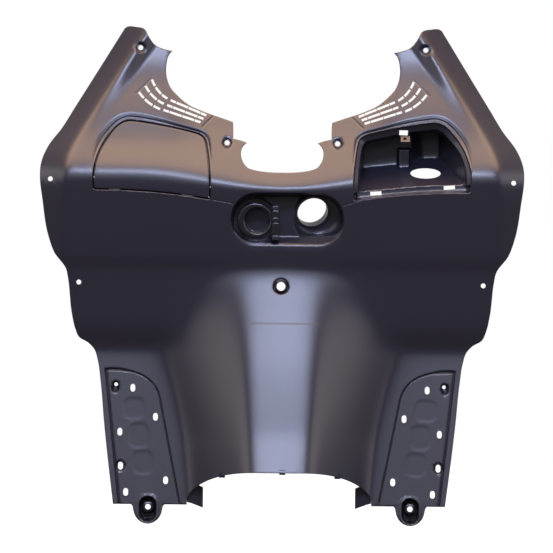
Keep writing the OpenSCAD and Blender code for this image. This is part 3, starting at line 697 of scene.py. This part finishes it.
def newTree(name, kind, sockets):
    tree = bpy.data.node_groups.new(name, kind)
    for label, way, socketType, value in sockets:
        socket = tree.interface.new_socket(name=label, in_out=way, socket_type="NodeSocket" + socketType)
        if value is not None:
            socket.default_value = value
    return tree, tree.nodes.new("NodeGroupInput").outputs, tree.nodes.new("NodeGroupOutput").inputs


def grainGroup():
    tree, ins, outs = newTree("mouldedGrain", "ShaderNodeTree", [
        ("Grain scale", "INPUT", "Float", 900.0), ("Grain depth", "INPUT", "Float", 0.25),
        ("Shade spread", "INPUT", "Float", 0.12), ("Bump Height", "OUTPUT", "Float", None),
        ("Shade", "OUTPUT", "Float", None), ("Roughness", "OUTPUT", "Float", None)])
    coords = tree.nodes.new("ShaderNodeTexCoord").outputs["Object"]
    scale = ins["Grain scale"]
    fine = addNode(tree, "ShaderNodeTexNoise", Vector=coords, Scale=scale, Detail=3.0, Roughness=0.6)
    cells = addNode(tree, "ShaderNodeTexVoronoi", Vector=coords, Scale=scale)
    wide = addNode(tree, "ShaderNodeTexNoise", Vector=coords, Scale=9.0, Detail=2.0).outputs["Fac"]
    total = mathNode(tree, "ADD", fine.outputs["Fac"], cells.outputs["Distance"])
    shade = addNode(tree, "ShaderNodeMapRange", Value=wide, To_Min=0.0, To_Max=ins["Shade spread"])
    rough = addNode(tree, "ShaderNodeMapRange", Value=wide, To_Min=-0.03, To_Max=0.05)
    feed(tree, outs["Bump Height"], mathNode(tree, "MULTIPLY", total, ins["Grain depth"]))
    feed(tree, outs["Shade"], shade.outputs["Result"])
    feed(tree, outs["Roughness"], rough.outputs["Result"])
    return tree


plasticForm = {
    "base": (0.0125, 0.0122, 0.0215), "dusty": (0.024, 0.0232, 0.037), "roughness": 0.32, "bump": 0.5, "scale": 900.0,
    "relief": 0.0002, "lid": (0.02, 1.3, 0.8), "hook": (0.007, 0.007, 0.009), "hookRoughness": 0.26, "hookBump": 0.05,
    # The pale colour on the next line is a painted highlight for the small nubs in the lid's gap
    "steel": (0.55, 0.55, 0.57), "paintedGlint": (0.30, 0.26, 0.22),
}
grain = grainGroup()


def plastic(name, base, dusty, roughness, bump, scale):
    m = bpy.data.materials.new(name)
    m.use_nodes = True
    tree = m.node_tree
    shader = tree.nodes["Principled BSDF"]
    group = tree.nodes.new("ShaderNodeGroup")
    group.node_tree = grain
    group.inputs["Grain scale"].default_value = scale
    shade = tree.nodes.new("ShaderNodeMix")
    shade.data_type = "RGBA"
    for i, value in ((0, group.outputs["Shade"]), (6, (*base, 1)), (7, (*dusty, 1))):
        feed(tree, shade.inputs[i], value)
    relief = addNode(tree, "ShaderNodeBump", Strength=bump, Distance=plasticForm["relief"],
                     Height=group.outputs["Bump Height"])
    feed(tree, shader.inputs["Base Color"], shade.outputs[2])
    feed(tree, shader.inputs["Roughness"], mathNode(tree, "ADD", group.outputs["Roughness"], roughness))
    feed(tree, shader.inputs["Normal"], relief.outputs["Normal"])
    return m


def plain(name, base, roughness, metallic=0.0):
    m = bpy.data.materials.new(name)
    m.use_nodes = True
    shader = m.node_tree.nodes["Principled BSDF"]
    shader.inputs["Base Color"].default_value = (*base, 1)
    shader.inputs["Roughness"].default_value = roughness
    shader.inputs["Metallic"].default_value = metallic
    return m


def finishes():
    f = plasticForm
    rougher, deeper, wider = f["lid"]  # the lid's grain against the panel's
    return (
        plastic("panelPlastic", f["base"], f["dusty"], f["roughness"], f["bump"], f["scale"]),
        plastic("lidPlastic", f["base"], f["dusty"], f["roughness"] + rougher, f["bump"] * deeper, f["scale"] * wider),
        plastic("hookPlastic", f["hook"], f["base"], f["hookRoughness"], f["hookBump"], f["scale"]),
        # The last finish is pale plastic that paints a highlight on the nubs in the lid's gap
        plain("pinSteel", f["steel"], 0.28, 1.0), plain("paintedGlintPlastic", f["paintedGlint"], 0.3),
    )


panelPlastic, lidPlastic, hookPlastic, pinSteel, paintedGlintPlastic = finishes()
report("materials")


# The panel

ventForm = {
    "rows": 3, "wide": 2.3,
    "curve": [(131.6, 206.6), (126.7, 193.8), (115.9, 187.5)], "curveStep": [(6.4, -6.45), (4.7, -6), (3.5, -5.4)],
    "curveCuts": [(0, 0.27), (0.33, 0.68), (0.73, 1)],
    "line": [(112.6, 185.9), (76.5, 170.9)], "lineStep": [(3.5, -5), (2.9, -3.5)],
    "lineCuts": [(0, 0.15), (0.165, 0.49), (0.505, 0.83), (0.845, 1)],
}


# A loop that runs anticlockwise
def anticlockwise(loop):
    area = np.sum(loop[:, 0] * np.roll(loop[:, 1], -1) - loop[:, 1] * np.roll(loop[:, 0], -1))
    return loop if area > 0 else loop[::-1]


def band(middle, wide):
    d = np.gradient(middle, axis=0)
    n = np.column_stack([-d[:, 1], d[:, 0]]) / np.hypot(*d.T)[:, None] * wide / 2
    return anticlockwise(np.concatenate([middle + n, (middle - n)[::-1]]))


def ventHoles():
    f = ventForm
    holes = []
    for i in range(f["rows"]):
        pull = [np.array(p) + i * np.array(s) for p, s in zip(f["curve"], f["curveStep"])]
        ends = [np.array(p) + i * np.array(s) for p, s in zip(f["line"], f["lineStep"])]
        holes += [band(bend(*pull, np.linspace(t0, t1, 5)), f["wide"]) for t0, t1 in f["curveCuts"]]
        holes += [band(mix(*ends, np.linspace(t0, t1, 4)[:, None]), f["wide"]) for t0, t1 in f["lineCuts"]]
    return holes


def tiltedRect(x, z, wide, high, tilt):
    c, s = math.cos(tilt), math.sin(tilt)
    corners = [(u * wide / 2, v * high / 2) for u, v in ((-1, -1), (0, -1), (1, -1), (1, 1), (0, 1), (-1, 1))]
    return np.array([(x + u * c - v * s, z + u * s + v * c) for u, v in corners])


# The lock's round hole, seen along Y
def lockHole(count=48):
    px, pz, _, _ = recessForm["plate"]
    r = recessForm["lockR"]
    n = Vector(recessForm["normal"]).normalized()
    u = n.cross(Vector((0, 1, 0))).normalized()
    v = n.cross(u)
    turns = np.arange(count) * 2 * math.pi / count
    return anticlockwise(np.array([(px + r * (u.x * math.cos(t) + v.x * math.sin(t)),
                                    pz + r * (u.z * math.cos(t) + v.z * math.sin(t))) for t in turns]))


def panelHoles():
    both = ventHoles()
    both += [oval(x, z, fixForm["screwR"], n=16) for x, z, _, _ in fixForm["screws"]]
    both += [oval(*fixForm["footScrew"], n=16), oval(*matForm["wellHole"], n=12)]
    both += [obround(x, z, matForm["slotWide"], matForm["slotHigh"], 6) for x, z in matForm["slots"]]
    f = hingeForm
    both += [tiltedRect(x, z, f["slotWide"], f["slotHigh"], hingeTilt) for x, z in f["slots"]]
    right = [oval(*binForm["hole"], n=40), tiltedRect(*binForm["notch"], 0.0)]
    return both + [mirrored(h) for h in both] + right + [oval(0, 0, fixForm["centreR"], n=28), lockHole()]


# Where the net's lines run beside an edge, and how wide its meshes are in each zone, the first zone first
netForm = {
    "band": (1.03, 0.8, 0.56, 0.47, 0.37, 0.18), "opening": (0.15, -0.35, -0.9), "mouth": (0, -0.7, 0.7),
    "mat": (2.6, 1.5, 0.8, 0.0, -0.8, -1.5, -2.6), "cup": (2.4, 0.2, -1.6), "boss": (6.0, 5.0),
    "screw": (0.5, -0.4, -0.9), "recess": (2.2, 1.0, 0.0, -1.0, -2.2), "well": (0.9, 0.25, -0.5),
    "hookCup": (0.25, -0.4), "centre": (8.0, 7.3, 6.5, 5.9), "back": (1.8, 2.6, 3.3), "lowest": -218,
    "frontZones": [
        ((127, 151, 189, 212), 1.2), ((-151, -127, 189, 212), 1.2), ((66, 83, 156, 173), 1.0),
        ((-83, -66, 156, 173), 1.0), ((-72, 84, 78, 89), 0.9), ((-58, 70, 34, 97), 1.3), ((70, 192, 86, 168), 1.15),
        ((-192, -70, 86, 168), 2.4), ((96, 178, -240, -82), 2.2), ((-178, -96, -240, -82), 2.2),
        ((-12, 12, -12, 12), 1.2), ((-245, 245, -240, 262), 3.3),
    ],
    "backZones": [
        ((-60, 70, 34, 102), 2.4), ((64, 198, 80, 174), 2.4), ((-198, -64, 80, 174), 2.6),
        ((-245, 245, -240, 262), 5.0),
    ],
}


def frontLoops():
    f = netForm
    wide = bandWide(*openingEdge.T)[:, None]
    lines = [openingEdge + outward(openingEdge) * wide * t for t in f["band"]]
    lines += [grown(openingEdge, d) for d in f["opening"]]
    mouth = openingEdge - outward(openingEdge) * mouthWide(openingEdge[:, 1])[:, None]
    lines += [grown(mouth, d) for d in f["mouth"]]
    lines += [grown(matEdge, d) for d in f["mat"]]
    x, z, w, h, _ = matForm["cup"]
    lines += [obround(x, z, w + g, h + g, 12) for g in f["cup"]]
    x, z, _ = fixForm["footScrew"]
    lines += [oval(x, z, r, n=24) for r in f["boss"]]
    lines += [oval(x, z, r + g, n=24) for x, z, r, _ in fixForm["screws"][:2] for g in f["screw"]]
    whole = [line for line in lines if line[:, 1].min() > f["lowest"]]
    cut = [line for line in lines if line[:, 1].min() <= f["lowest"]]
    cut = [line[inside(outline, line[:, 0], line[:, 1], 2) > 0.4] for line in cut]
    lines = whole + [line for line in cut if len(line) > 3]
    x, z, w, h = (recessForm[k] for k in ("x", "z", "long", "high"))
    middle = [obround(x, z, w + g, h + g, 26) for g in f["recess"]]
    x, z, r, _ = recessForm["well"]
    middle += [oval(x, z, r + g, n=60) for g in f["well"]]
    middle += [oval(x, z, recessForm["cup"][2] + g, n=40) for g in f["hookCup"]]
    middle += [oval(0, 0, r, n=32) for r in f["centre"]]
    return lines + [mirrored(line) for line in lines] + middle


def backLoops():
    return [loop for d in netForm["back"] for loop in (grown(openingEdge, d), mirrored(grown(openingEdge, d)))]


report("outlines")
panelSkin = skin("panelSkin", panelPlastic, outline, panelHoles(), frontDepth, backDepth,
                 (frontLoops(), netForm["frontZones"]), (backLoops(), netForm["backZones"]))
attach(panelSkin, "panel")
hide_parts("leg_shield")
report("panel: %d faces" % len(panelSkin.data.polygons))


# The lid

def lidFront(x, z):
    a = np.abs(x)
    e = np.clip(lidForm["edge"] - inside(lidEdge, a, z, 3), 0, lidForm["edge"])
    return plainDepth(x, z) + sunkBy(z) + lidForm["edge"] - np.sqrt(np.maximum(lidForm["edge"] ** 2 - e ** 2, 0))


def lidBack(x, z):
    return plainDepth(x, z) + sunkBy(z) + lidForm["thick"] + lidForm["backSlack"]


lidMirror = mirrored(lidEdge)
lidZone = (-192, -68, 84, 170)
lidLoops = [grown(lidMirror, d) for d in (-0.25, -0.6, -1.1)]
storageLid = skin("storageLid", lidPlastic, lidMirror, [], lidFront, lidBack,
                  (lidLoops, [(lidZone, 2.4)]), ([], [(lidZone, 5.0)]))
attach(storageLid, "lid")
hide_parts("glovebox_lid")


def hingePoint(s):
    return (-(hingeX + s * math.cos(hingeTilt)), hingeY, hingeZ + s * math.sin(hingeTilt))


earForm = {"r": 4.0, "long": 5.8, "pinR": 1.6, "pinLong": 9.8, "starts": [(-1, 0.2, -4.8), (1, -6, -5)]}
hingeAxis = (-math.cos(hingeTilt), 0, math.sin(hingeTilt))
ears = []
for side, ear, pin in earForm["starts"]:
    ears.append(turned(rodProfile(earForm["r"], earForm["long"]), hingePoint(side * hingeHalf + ear), hingeAxis))
    pinProfile = rodProfile(earForm["pinR"], earForm["pinLong"], 0.3)
    ears.append(turned(pinProfile, hingePoint(side * hingeHalf + pin), hingeAxis, 24))
lidEars = meshPiece("lidEars", *merged(ears), lidPlastic)
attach(lidEars, "lid")
report("lid")


# The hook: a flat round-edged ring joined to its knuckle

hookForm = {
    "x": -26.5, "z": 66.0, "y": 1.5, "outer": 17.8, "inner": 12.6, "shift": 2.4, "bar": 5.0, "edge": 2.3, "axisX": -6.0,
    "barrel": 3.7, "low": 51.3, "high": 75.9, "grooves": [63.5, 68.7], "ears": [(46.0, 51.0), (76.2, 80.5)],
}


def ringPiece():
    f = hookForm
    half = f["bar"] / 2
    quarter = [(math.cos(t), math.sin(t)) for t in np.linspace(0, math.pi / 2, 6)]
    n, m = 96, 4 * len(quarter)
    verts, faces = [], []
    for i in range(n):
        t = 2 * math.pi * i / n
        inner = f["shift"] * math.cos(t) + math.sqrt(f["inner"] ** 2 - (f["shift"] * math.sin(t)) ** 2)
        e = min(f["edge"], (f["outer"] - inner) / 2 - 0.05)
        section = [(f["outer"] - e + e * c, half - e + e * s) for c, s in quarter]
        section += [(inner + e - e * s, half - e + e * c) for c, s in quarter]
        section += [(inner + e - e * c, -half + e - e * s) for c, s in quarter]
        section += [(f["outer"] - e + e * s, -half + e - e * c) for c, s in quarter]
        for r, y in section:
            verts.append((f["x"] + r * math.cos(t), f["y"] + y, f["z"] + r * math.sin(t)))
    for i in range(n):
        for j in range(m):
            k, l = (i + 1) % n, (j + 1) % m
            faces.append((i * m + j, i * m + l, k * m + l, k * m + j))
    return verts, faces


def knuckleProfile(z0, z1, r, grooves, depth=0.2):
    profile = [(r - 0.8, 0), (r - 0.25, 0.2), (r, 0.7), (r, 1.5)]
    for g in grooves:
        h = g - z0
        profile += [(r, h - 1.1), (r, h - 0.45), (r - depth, h - 0.15)]
        profile += [(r - depth, h + 0.15), (r, h + 0.45), (r, h + 1.1)]
    return profile + [(r, z1 - z0 - 1.5), (r, z1 - z0 - 0.7), (r - 0.25, z1 - z0 - 0.2), (r - 0.8, z1 - z0)]


# Upright rounded block, from the same kind of profile as a turned piece
def block(profile, x, y, z, corner=1.3):
    wide = hookForm["barrel"]
    loop = [(sx * (wide - corner) + corner * math.cos(t), sy * (wide - corner) + corner * math.sin(t))
            for sx, sy, t0 in ((1, 1, 0), (-1, 1, 1), (-1, -1, 2), (1, -1, 3))
            for t in np.linspace(t0, t0 + 1, 5) * math.pi / 2]
    n, m = len(loop), len(profile)
    verts = [(x + u * r / wide, y + v * r / wide, z + h) for r, h in profile for u, v in loop]
    faces = [(j * n + i, j * n + (i + 1) % n, (j + 1) * n + (i + 1) % n, (j + 1) * n + i)
             for j in range(m - 1) for i in range(n)]
    return verts, faces + [tuple(reversed(range(n))), tuple((m - 1) * n + i for i in range(n))]


def hookParts():
    f = hookForm
    barrel = block(knuckleProfile(f["low"], f["high"], f["barrel"], f["grooves"]), f["axisX"], f["y"], f["low"])
    bridge = boxPiece((f["x"] + 15.8, f["y"] - 1.3, f["low"] + 0.6), (f["axisX"] - 1, f["y"] + 2.1, f["high"] - 0.6))
    return [ringPiece(), barrel, bridge]


def earParts():
    f = hookForm
    parts = []
    for low, high in f["ears"]:
        parts.append(block(knuckleProfile(low, high, f["barrel"], []), f["axisX"], f["y"], low))
        foot = (f["axisX"] - 3.1, f["y"] + 0.4, low + 0.3)
        parts.append(boxPiece(foot, (f["axisX"] + 3.1, recessForm["floor"] + 1, high - 0.3)))
    return parts


hookRing = meshPiece("hookRing", *merged(hookParts()), hookPlastic)
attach(hookRing, "hook")
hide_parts("bag_hook")
cadPin = frame["nodes"]["hook_pin"]
cadPin.data.materials.clear()
cadPin.data.materials.append(pinSteel)

hookEars = meshPiece("hookEars", *merged(earParts()), panelPlastic)
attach(hookEars, "panel")
report("hook")


# Lock sleeve, catch tab and the fins behind the arch

def tube(r0, r1, base, axis, length, n=64):
    verts, faces = turned([(r1, 0), (r1, length), (r0, length), (r0, 0)], base, axis, n)
    faces = faces[:-2] + [(3 * n + i, 3 * n + (i + 1) % n, (i + 1) % n, i) for i in range(n)]
    return verts, faces


def sleeveParts():
    f = recessForm
    px, pz, _, py = f["plate"]
    axis = Vector(f["normal"]).normalized()
    base = Vector((px, py, pz)) - axis * (f["sleeve"] - 0.4)
    return tube(f["lockR"] - 0.05, f["lockR"] + f["sleeveWall"], base, axis, f["sleeve"] + 0.6)


lockSleeve = meshPiece("lockSleeve", *sleeveParts(), panelPlastic)
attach(lockSleeve, "panel")

tabForm = {
    "x": (118.7, 127.9), "z": (146.2, 151.8), "hole": (121.2, 124.6, 148.1, 150.3),
    "at": (124, 150), "back": 7.5, "thick": 2.2, "lean": 0.7,
}


def tabParts():
    f = tabForm
    (x0, x1), (z0, z1) = f["x"], f["z"]
    hx0, hx1, hz0, hz1 = f["hole"]
    y0 = depthAt(*f["at"]) + f["back"]
    y1 = y0 + f["thick"]
    verts, faces = merged([boxPiece((x0, y0, z0), (x1, y1, hz0)), boxPiece((x0, y0, hz1), (x1, y1, z1)),
                           boxPiece((x0, y0, hz0), (hx0, y1, hz1)), boxPiece((hx1, y0, hz0), (x1, y1, hz1))])
    return [(x, y + f["lean"] * (z - z0), z) for x, y, z in verts], faces


catchTab = meshPiece("catchTab", *tabParts(), panelPlastic, False)
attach(catchTab, "panel")

finForm = {
    "points": [(76.0, -201.5), (76.0, -222), (88, -217.5), (92, -216.5), (92, -194)],
    "at": (98, -205), "back": 0.9, "thick": 2.4,
}


def prism(points, y0, y1):
    n = len(points)
    verts = [(x, y0, z) for x, z in points] + [(x, y1, z) for x, z in points]
    area = sum(points[i][0] * points[(i + 1) % n][1] - points[i][1] * points[(i + 1) % n][0] for i in range(n))
    order = list(range(n)) if area > 0 else list(range(n))[::-1]
    faces = [tuple(order), tuple(i + n for i in reversed(order))]
    for i in range(n):
        p, q = order[i], order[(i + 1) % n]
        faces.append((q, p, p + n, q + n))
    return verts, faces


finY = depthAt(*finForm["at"]) + finForm["back"]
fins = [prism([(s * x, z) for x, z in finForm["points"]], finY, finY + finForm["thick"]) for s in (-1, 1)]
archFins = meshPiece("archFins", *merged(fins), panelPlastic, False)
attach(archFins, "panel")
report("small pieces")


# What repeats, placed by a node tree on points: slot lips, pale nubs painted as highlights in the lid's gap, and arch
# nubs

def placingTree(name):
    tree, ins, outs = newTree(name, "GeometryNodeTree", [
        ("Points", "INPUT", "Geometry", None), ("Piece", "INPUT", "Object", None),
        ("Size spread", "INPUT", "Float", 0.0), ("Seed", "INPUT", "Int", 7),
        ("Finish", "INPUT", "Material", None), ("Geometry", "OUTPUT", "Geometry", None)])
    info = addNode(tree, "GeometryNodeObjectInfo")
    feed(tree, info.inputs["Object"], ins["Piece"])
    spread = addNode(tree, "FunctionNodeRandomValue", Seed=ins["Seed"])
    feed(tree, spread.inputs[2], mathNode(tree, "SUBTRACT", 1.0, ins["Size spread"]))
    turn = tree.nodes.new("GeometryNodeInputNamedAttribute")
    turn.data_type = "FLOAT_VECTOR"
    feed(tree, turn.inputs["Name"], "turn")
    place = addNode(tree, "GeometryNodeInstanceOnPoints", Points=ins["Points"], Instance=info.outputs["Geometry"],
                    Rotation=turn.outputs["Attribute"], Scale=spread.outputs[1])
    real = addNode(tree, "GeometryNodeRealizeInstances", Geometry=place.outputs["Instances"])
    finish = addNode(tree, "GeometryNodeSetMaterial", Geometry=real.outputs["Geometry"], Material=ins["Finish"])
    feed(tree, outs["Geometry"], finish.outputs["Geometry"])
    return tree


placing = placingTree("placedOnPoints")


def scatterPieces(name, spots, piece, material, spread, seed, body):
    mesh = bpy.data.meshes.new(name + "Points")
    mesh.from_pydata([tuple(c * mm for c in p) for p, _ in spots], [], [])
    turn = mesh.attributes.new("turn", "FLOAT_VECTOR", "POINT")
    turn.data.foreach_set("vector", [c for _, t in spots for c in t])
    holder = bpy.data.objects.new(name + "Points", mesh)
    bpy.context.scene.collection.objects.link(holder)
    modifier = holder.modifiers.new("placed", "NODES")
    modifier.node_group = placing
    sockets = {s.name: s.identifier for s in placing.interface.items_tree if s.in_out == "INPUT"}
    modifier[sockets["Piece"]] = piece
    modifier[sockets["Size spread"]] = spread
    modifier[sockets["Seed"]] = seed
    modifier[sockets["Finish"]] = material
    bpy.context.view_layer.update()
    made = bpy.data.meshes.new_from_object(holder.evaluated_get(bpy.context.evaluated_depsgraph_get()))
    holder.modifiers.remove(modifier)
    bpy.data.objects.remove(holder)
    bpy.data.objects.remove(piece)
    obj = bpy.data.objects.new(name, made)
    bpy.context.scene.collection.objects.link(obj)
    made.polygons.foreach_set("use_smooth", np.ones(len(made.polygons), bool))
    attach(obj, body)
    return obj


def ringOn(loop, profile):
    n, m = len(loop), len(profile)
    out = outward(loop)
    verts = [(x + u * d, y, z + v * d) for (x, z), (u, v) in zip(loop, out) for d, y in profile]
    faces = []
    for i in range(n):
        here, there = i * m, (i + 1) % n * m
        faces += [(here + j, there + j, there + (j + 1) % m, here + (j + 1) % m) for j in range(m)]
    return verts, faces


lipForm = {"wide": 1.0, "high": 0.35, "slack": 0.2, "beside": 6.0}
lipLoop = obround(0, 0, matForm["slotWide"] + lipForm["slack"], matForm["slotHigh"] + lipForm["slack"], 9)
lipProfile = [(0.0, 0.3), (0.0, -0.25), (0.35, -lipForm["high"]), (0.75, -0.25), (lipForm["wide"], 0.3)]
lip = meshPiece("lipPiece", *ringOn(lipLoop, lipProfile), panelPlastic)
boardTilt = math.atan(-faceForm["boardSlope"])


def boardSpots(places):
    spots = []
    for side in (-1, 1):
        for a, z in places:
            y = float(frontDepth(np.array([a - lipForm["beside"]]), np.array([z]))[0])
            spots.append(((side * a, y, z), (-boardTilt, 0, 0)))
    return spots


slotLips = scatterPieces("slotLips", boardSpots(matForm["slots"]), lip, panelPlastic, 0.0, 3, "panel")

# Small pale nubs in the lid's gap, two on the hinge line and one at its lower inner corner: painted highlights standing
# in for glints of light there
glintForm = {"at": [(187.9, 107.3), (71.6, 98.6), (73.0, 88.6)], "r": 0.85, "long": 1.2, "edge": 0.3, "back": 0.5}
glintSpots = [((-a, depthAt(a, z) + glintForm["back"], z), (0.0, 0.0, 0.0)) for a, z in glintForm["at"]]
glintProfile = rodProfile(glintForm["r"], glintForm["long"], glintForm["edge"])
endPiece = meshPiece("endPiece", *turned(glintProfile, (0, glintForm["long"] / 2, 0), (0, -1, 0), 12), paintedGlintPlastic)
hingeEnds = scatterPieces("hingeEnds", glintSpots, endPiece, paintedGlintPlastic, 0.2, 11, "panel")

nubForm = {"x": [-57.0, 3.0, 58.0], "low": (-3, 0, -1.6), "high": (3, 2, 3.4), "back": 1.2}
nub = meshPiece("nubPiece", *boxPiece(nubForm["low"], nubForm["high"]), panelPlastic)
nubSpots = []
for x in nubForm["x"]:
    low = archHeight(abs(x))
    nubSpots.append(((x, depthAt(x, low) + nubForm["back"], low), (0, 0, 0)))
archNubs = scatterPieces("archNubs", nubSpots, nub, panelPlastic, 0.0, 5, "panel")
report("repeated pieces")


# Stage, light and camera

stageForm = {
    "centre": (-0.0046, 0.0, 0.0099), "wide": 0.553, "away": 9.0, "floorZ": -0.2386, "floorSize": 6.0,
    "key": {"place": (0.0, -1.9, 1.72), "size": (0.85, 0.5), "power": 58.0, "colour": (0.62, 0.70, 1.0)},
    "top": {"place": (0.0, -0.45, 2.4), "size": (2.9, 1.4), "power": 118.0, "colour": (1.0, 0.66, 0.44)},
    "fill": {"place": (0.0, -2.6, 1.02), "size": (2.4, 0.7), "power": 11.0, "colour": (0.84, 0.86, 1.0)},
    "left": {"place": (-2.8, -1.1, 1.3), "size": (3.0, 2.2), "power": 47.0, "colour": (1.0, 0.93, 0.93)},
    "right": {"place": (2.8, -1.1, 1.3), "size": (3.0, 2.2), "power": 47.0, "colour": (1.0, 0.93, 0.95)},
    "ambient": 0.05, "backdrop": 0.9, "floorGlow": 0.96, "roll": -0.55,
}


def areaLight(name, place, size, power, colour):
    data = bpy.data.lights.new(name, "AREA")
    data.shape = "RECTANGLE"
    data.size, data.size_y = size
    data.energy = power
    data.color = colour
    obj = bpy.data.objects.new(name, data)
    obj.location = place
    aim = Vector((0, 0, 0)) - Vector(place)
    obj.rotation_euler = aim.to_track_quat("-Z", "Y").to_euler()
    bpy.context.scene.collection.objects.link(obj)
    return obj


for lightName in ("key", "top", "fill", "left", "right"):
    areaLight(lightName + "Light", **stageForm[lightName])


def seenDirectly(tree):
    path = tree.nodes.new("ShaderNodeLightPath").outputs
    return mathNode(tree, "MAXIMUM", path["Is Camera Ray"], path["Is Transmission Ray"])


def whiteWorld():
    f = stageForm
    world = bpy.data.worlds.new("studio")
    world.use_nodes = True
    tree = world.node_tree
    heading = tree.nodes.new("ShaderNodeSeparateXYZ")
    feed(tree, heading.inputs[0], tree.nodes.new("ShaderNodeTexCoord").outputs["Generated"])
    # The backdrop is also white to what it lights
    behind = addNode(tree, "ShaderNodeMapRange", Value=heading.outputs["Y"],
                     From_Min=0.1, From_Max=0.4, To_Min=f["ambient"], To_Max=f["backdrop"])
    strength = tree.nodes.new("ShaderNodeMix")
    for i, value in ((0, seenDirectly(tree)), (2, behind.outputs["Result"]), (3, 1.0)):
        feed(tree, strength.inputs[i], value)
    shade = tree.nodes["Background"]
    feed(tree, shade.inputs["Strength"], strength.outputs[0])
    feed(tree, shade.inputs["Color"], (1, 1, 1, 1))
    bpy.context.scene.world = world


whiteWorld()


def paleFloor(n=64):
    rim = oval(0, 0, stageForm["floorSize"] / 2, n=n)
    mesh = bpy.data.meshes.new("floor")
    mesh.from_pydata([(x, y, stageForm["floorZ"]) for x, y in rim], [], [tuple(range(n))])
    floor = bpy.data.objects.new("floor", mesh)
    bpy.context.scene.collection.objects.link(floor)
    m = bpy.data.materials.new("floorWhite")
    m.use_nodes = True
    tree = m.node_tree
    glow = mathNode(tree, "MULTIPLY", seenDirectly(tree), stageForm["floorGlow"])
    for label, value in (("Base Color", (0.1, 0.1, 0.1, 1)), ("Roughness", 1.0), ("Emission Color", (1, 1, 1, 1)),
                         ("Emission Strength", glow)):
        feed(tree, tree.nodes["Principled BSDF"].inputs[label], value)
    mesh.materials.append(m)
    return floor


floor = paleFloor()
floor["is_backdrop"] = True


def photoCamera():
    f = stageForm
    camera = bpy.data.cameras.new("camera")
    camera.sensor_width = 36.0
    camera.lens = camera.sensor_width * f["away"] / f["wide"]
    camera.clip_end = 100.0
    eye = bpy.data.objects.new("camera", camera)
    x, y, z = f["centre"]
    eye.location = (x, y - f["away"], z)
    eye.rotation_euler = (math.pi / 2, math.radians(f["roll"]), 0)
    bpy.context.scene.collection.objects.link(eye)
    bpy.context.scene.camera = eye


photoCamera()
bpy.context.scene.view_settings.view_transform = "Standard"
report("stage")

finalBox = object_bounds()
plainBox = [[[round(float(c), 5) for c in corner] for corner in b] for b in (cadBox, finalBox)]
report("size %s" % plainBox)
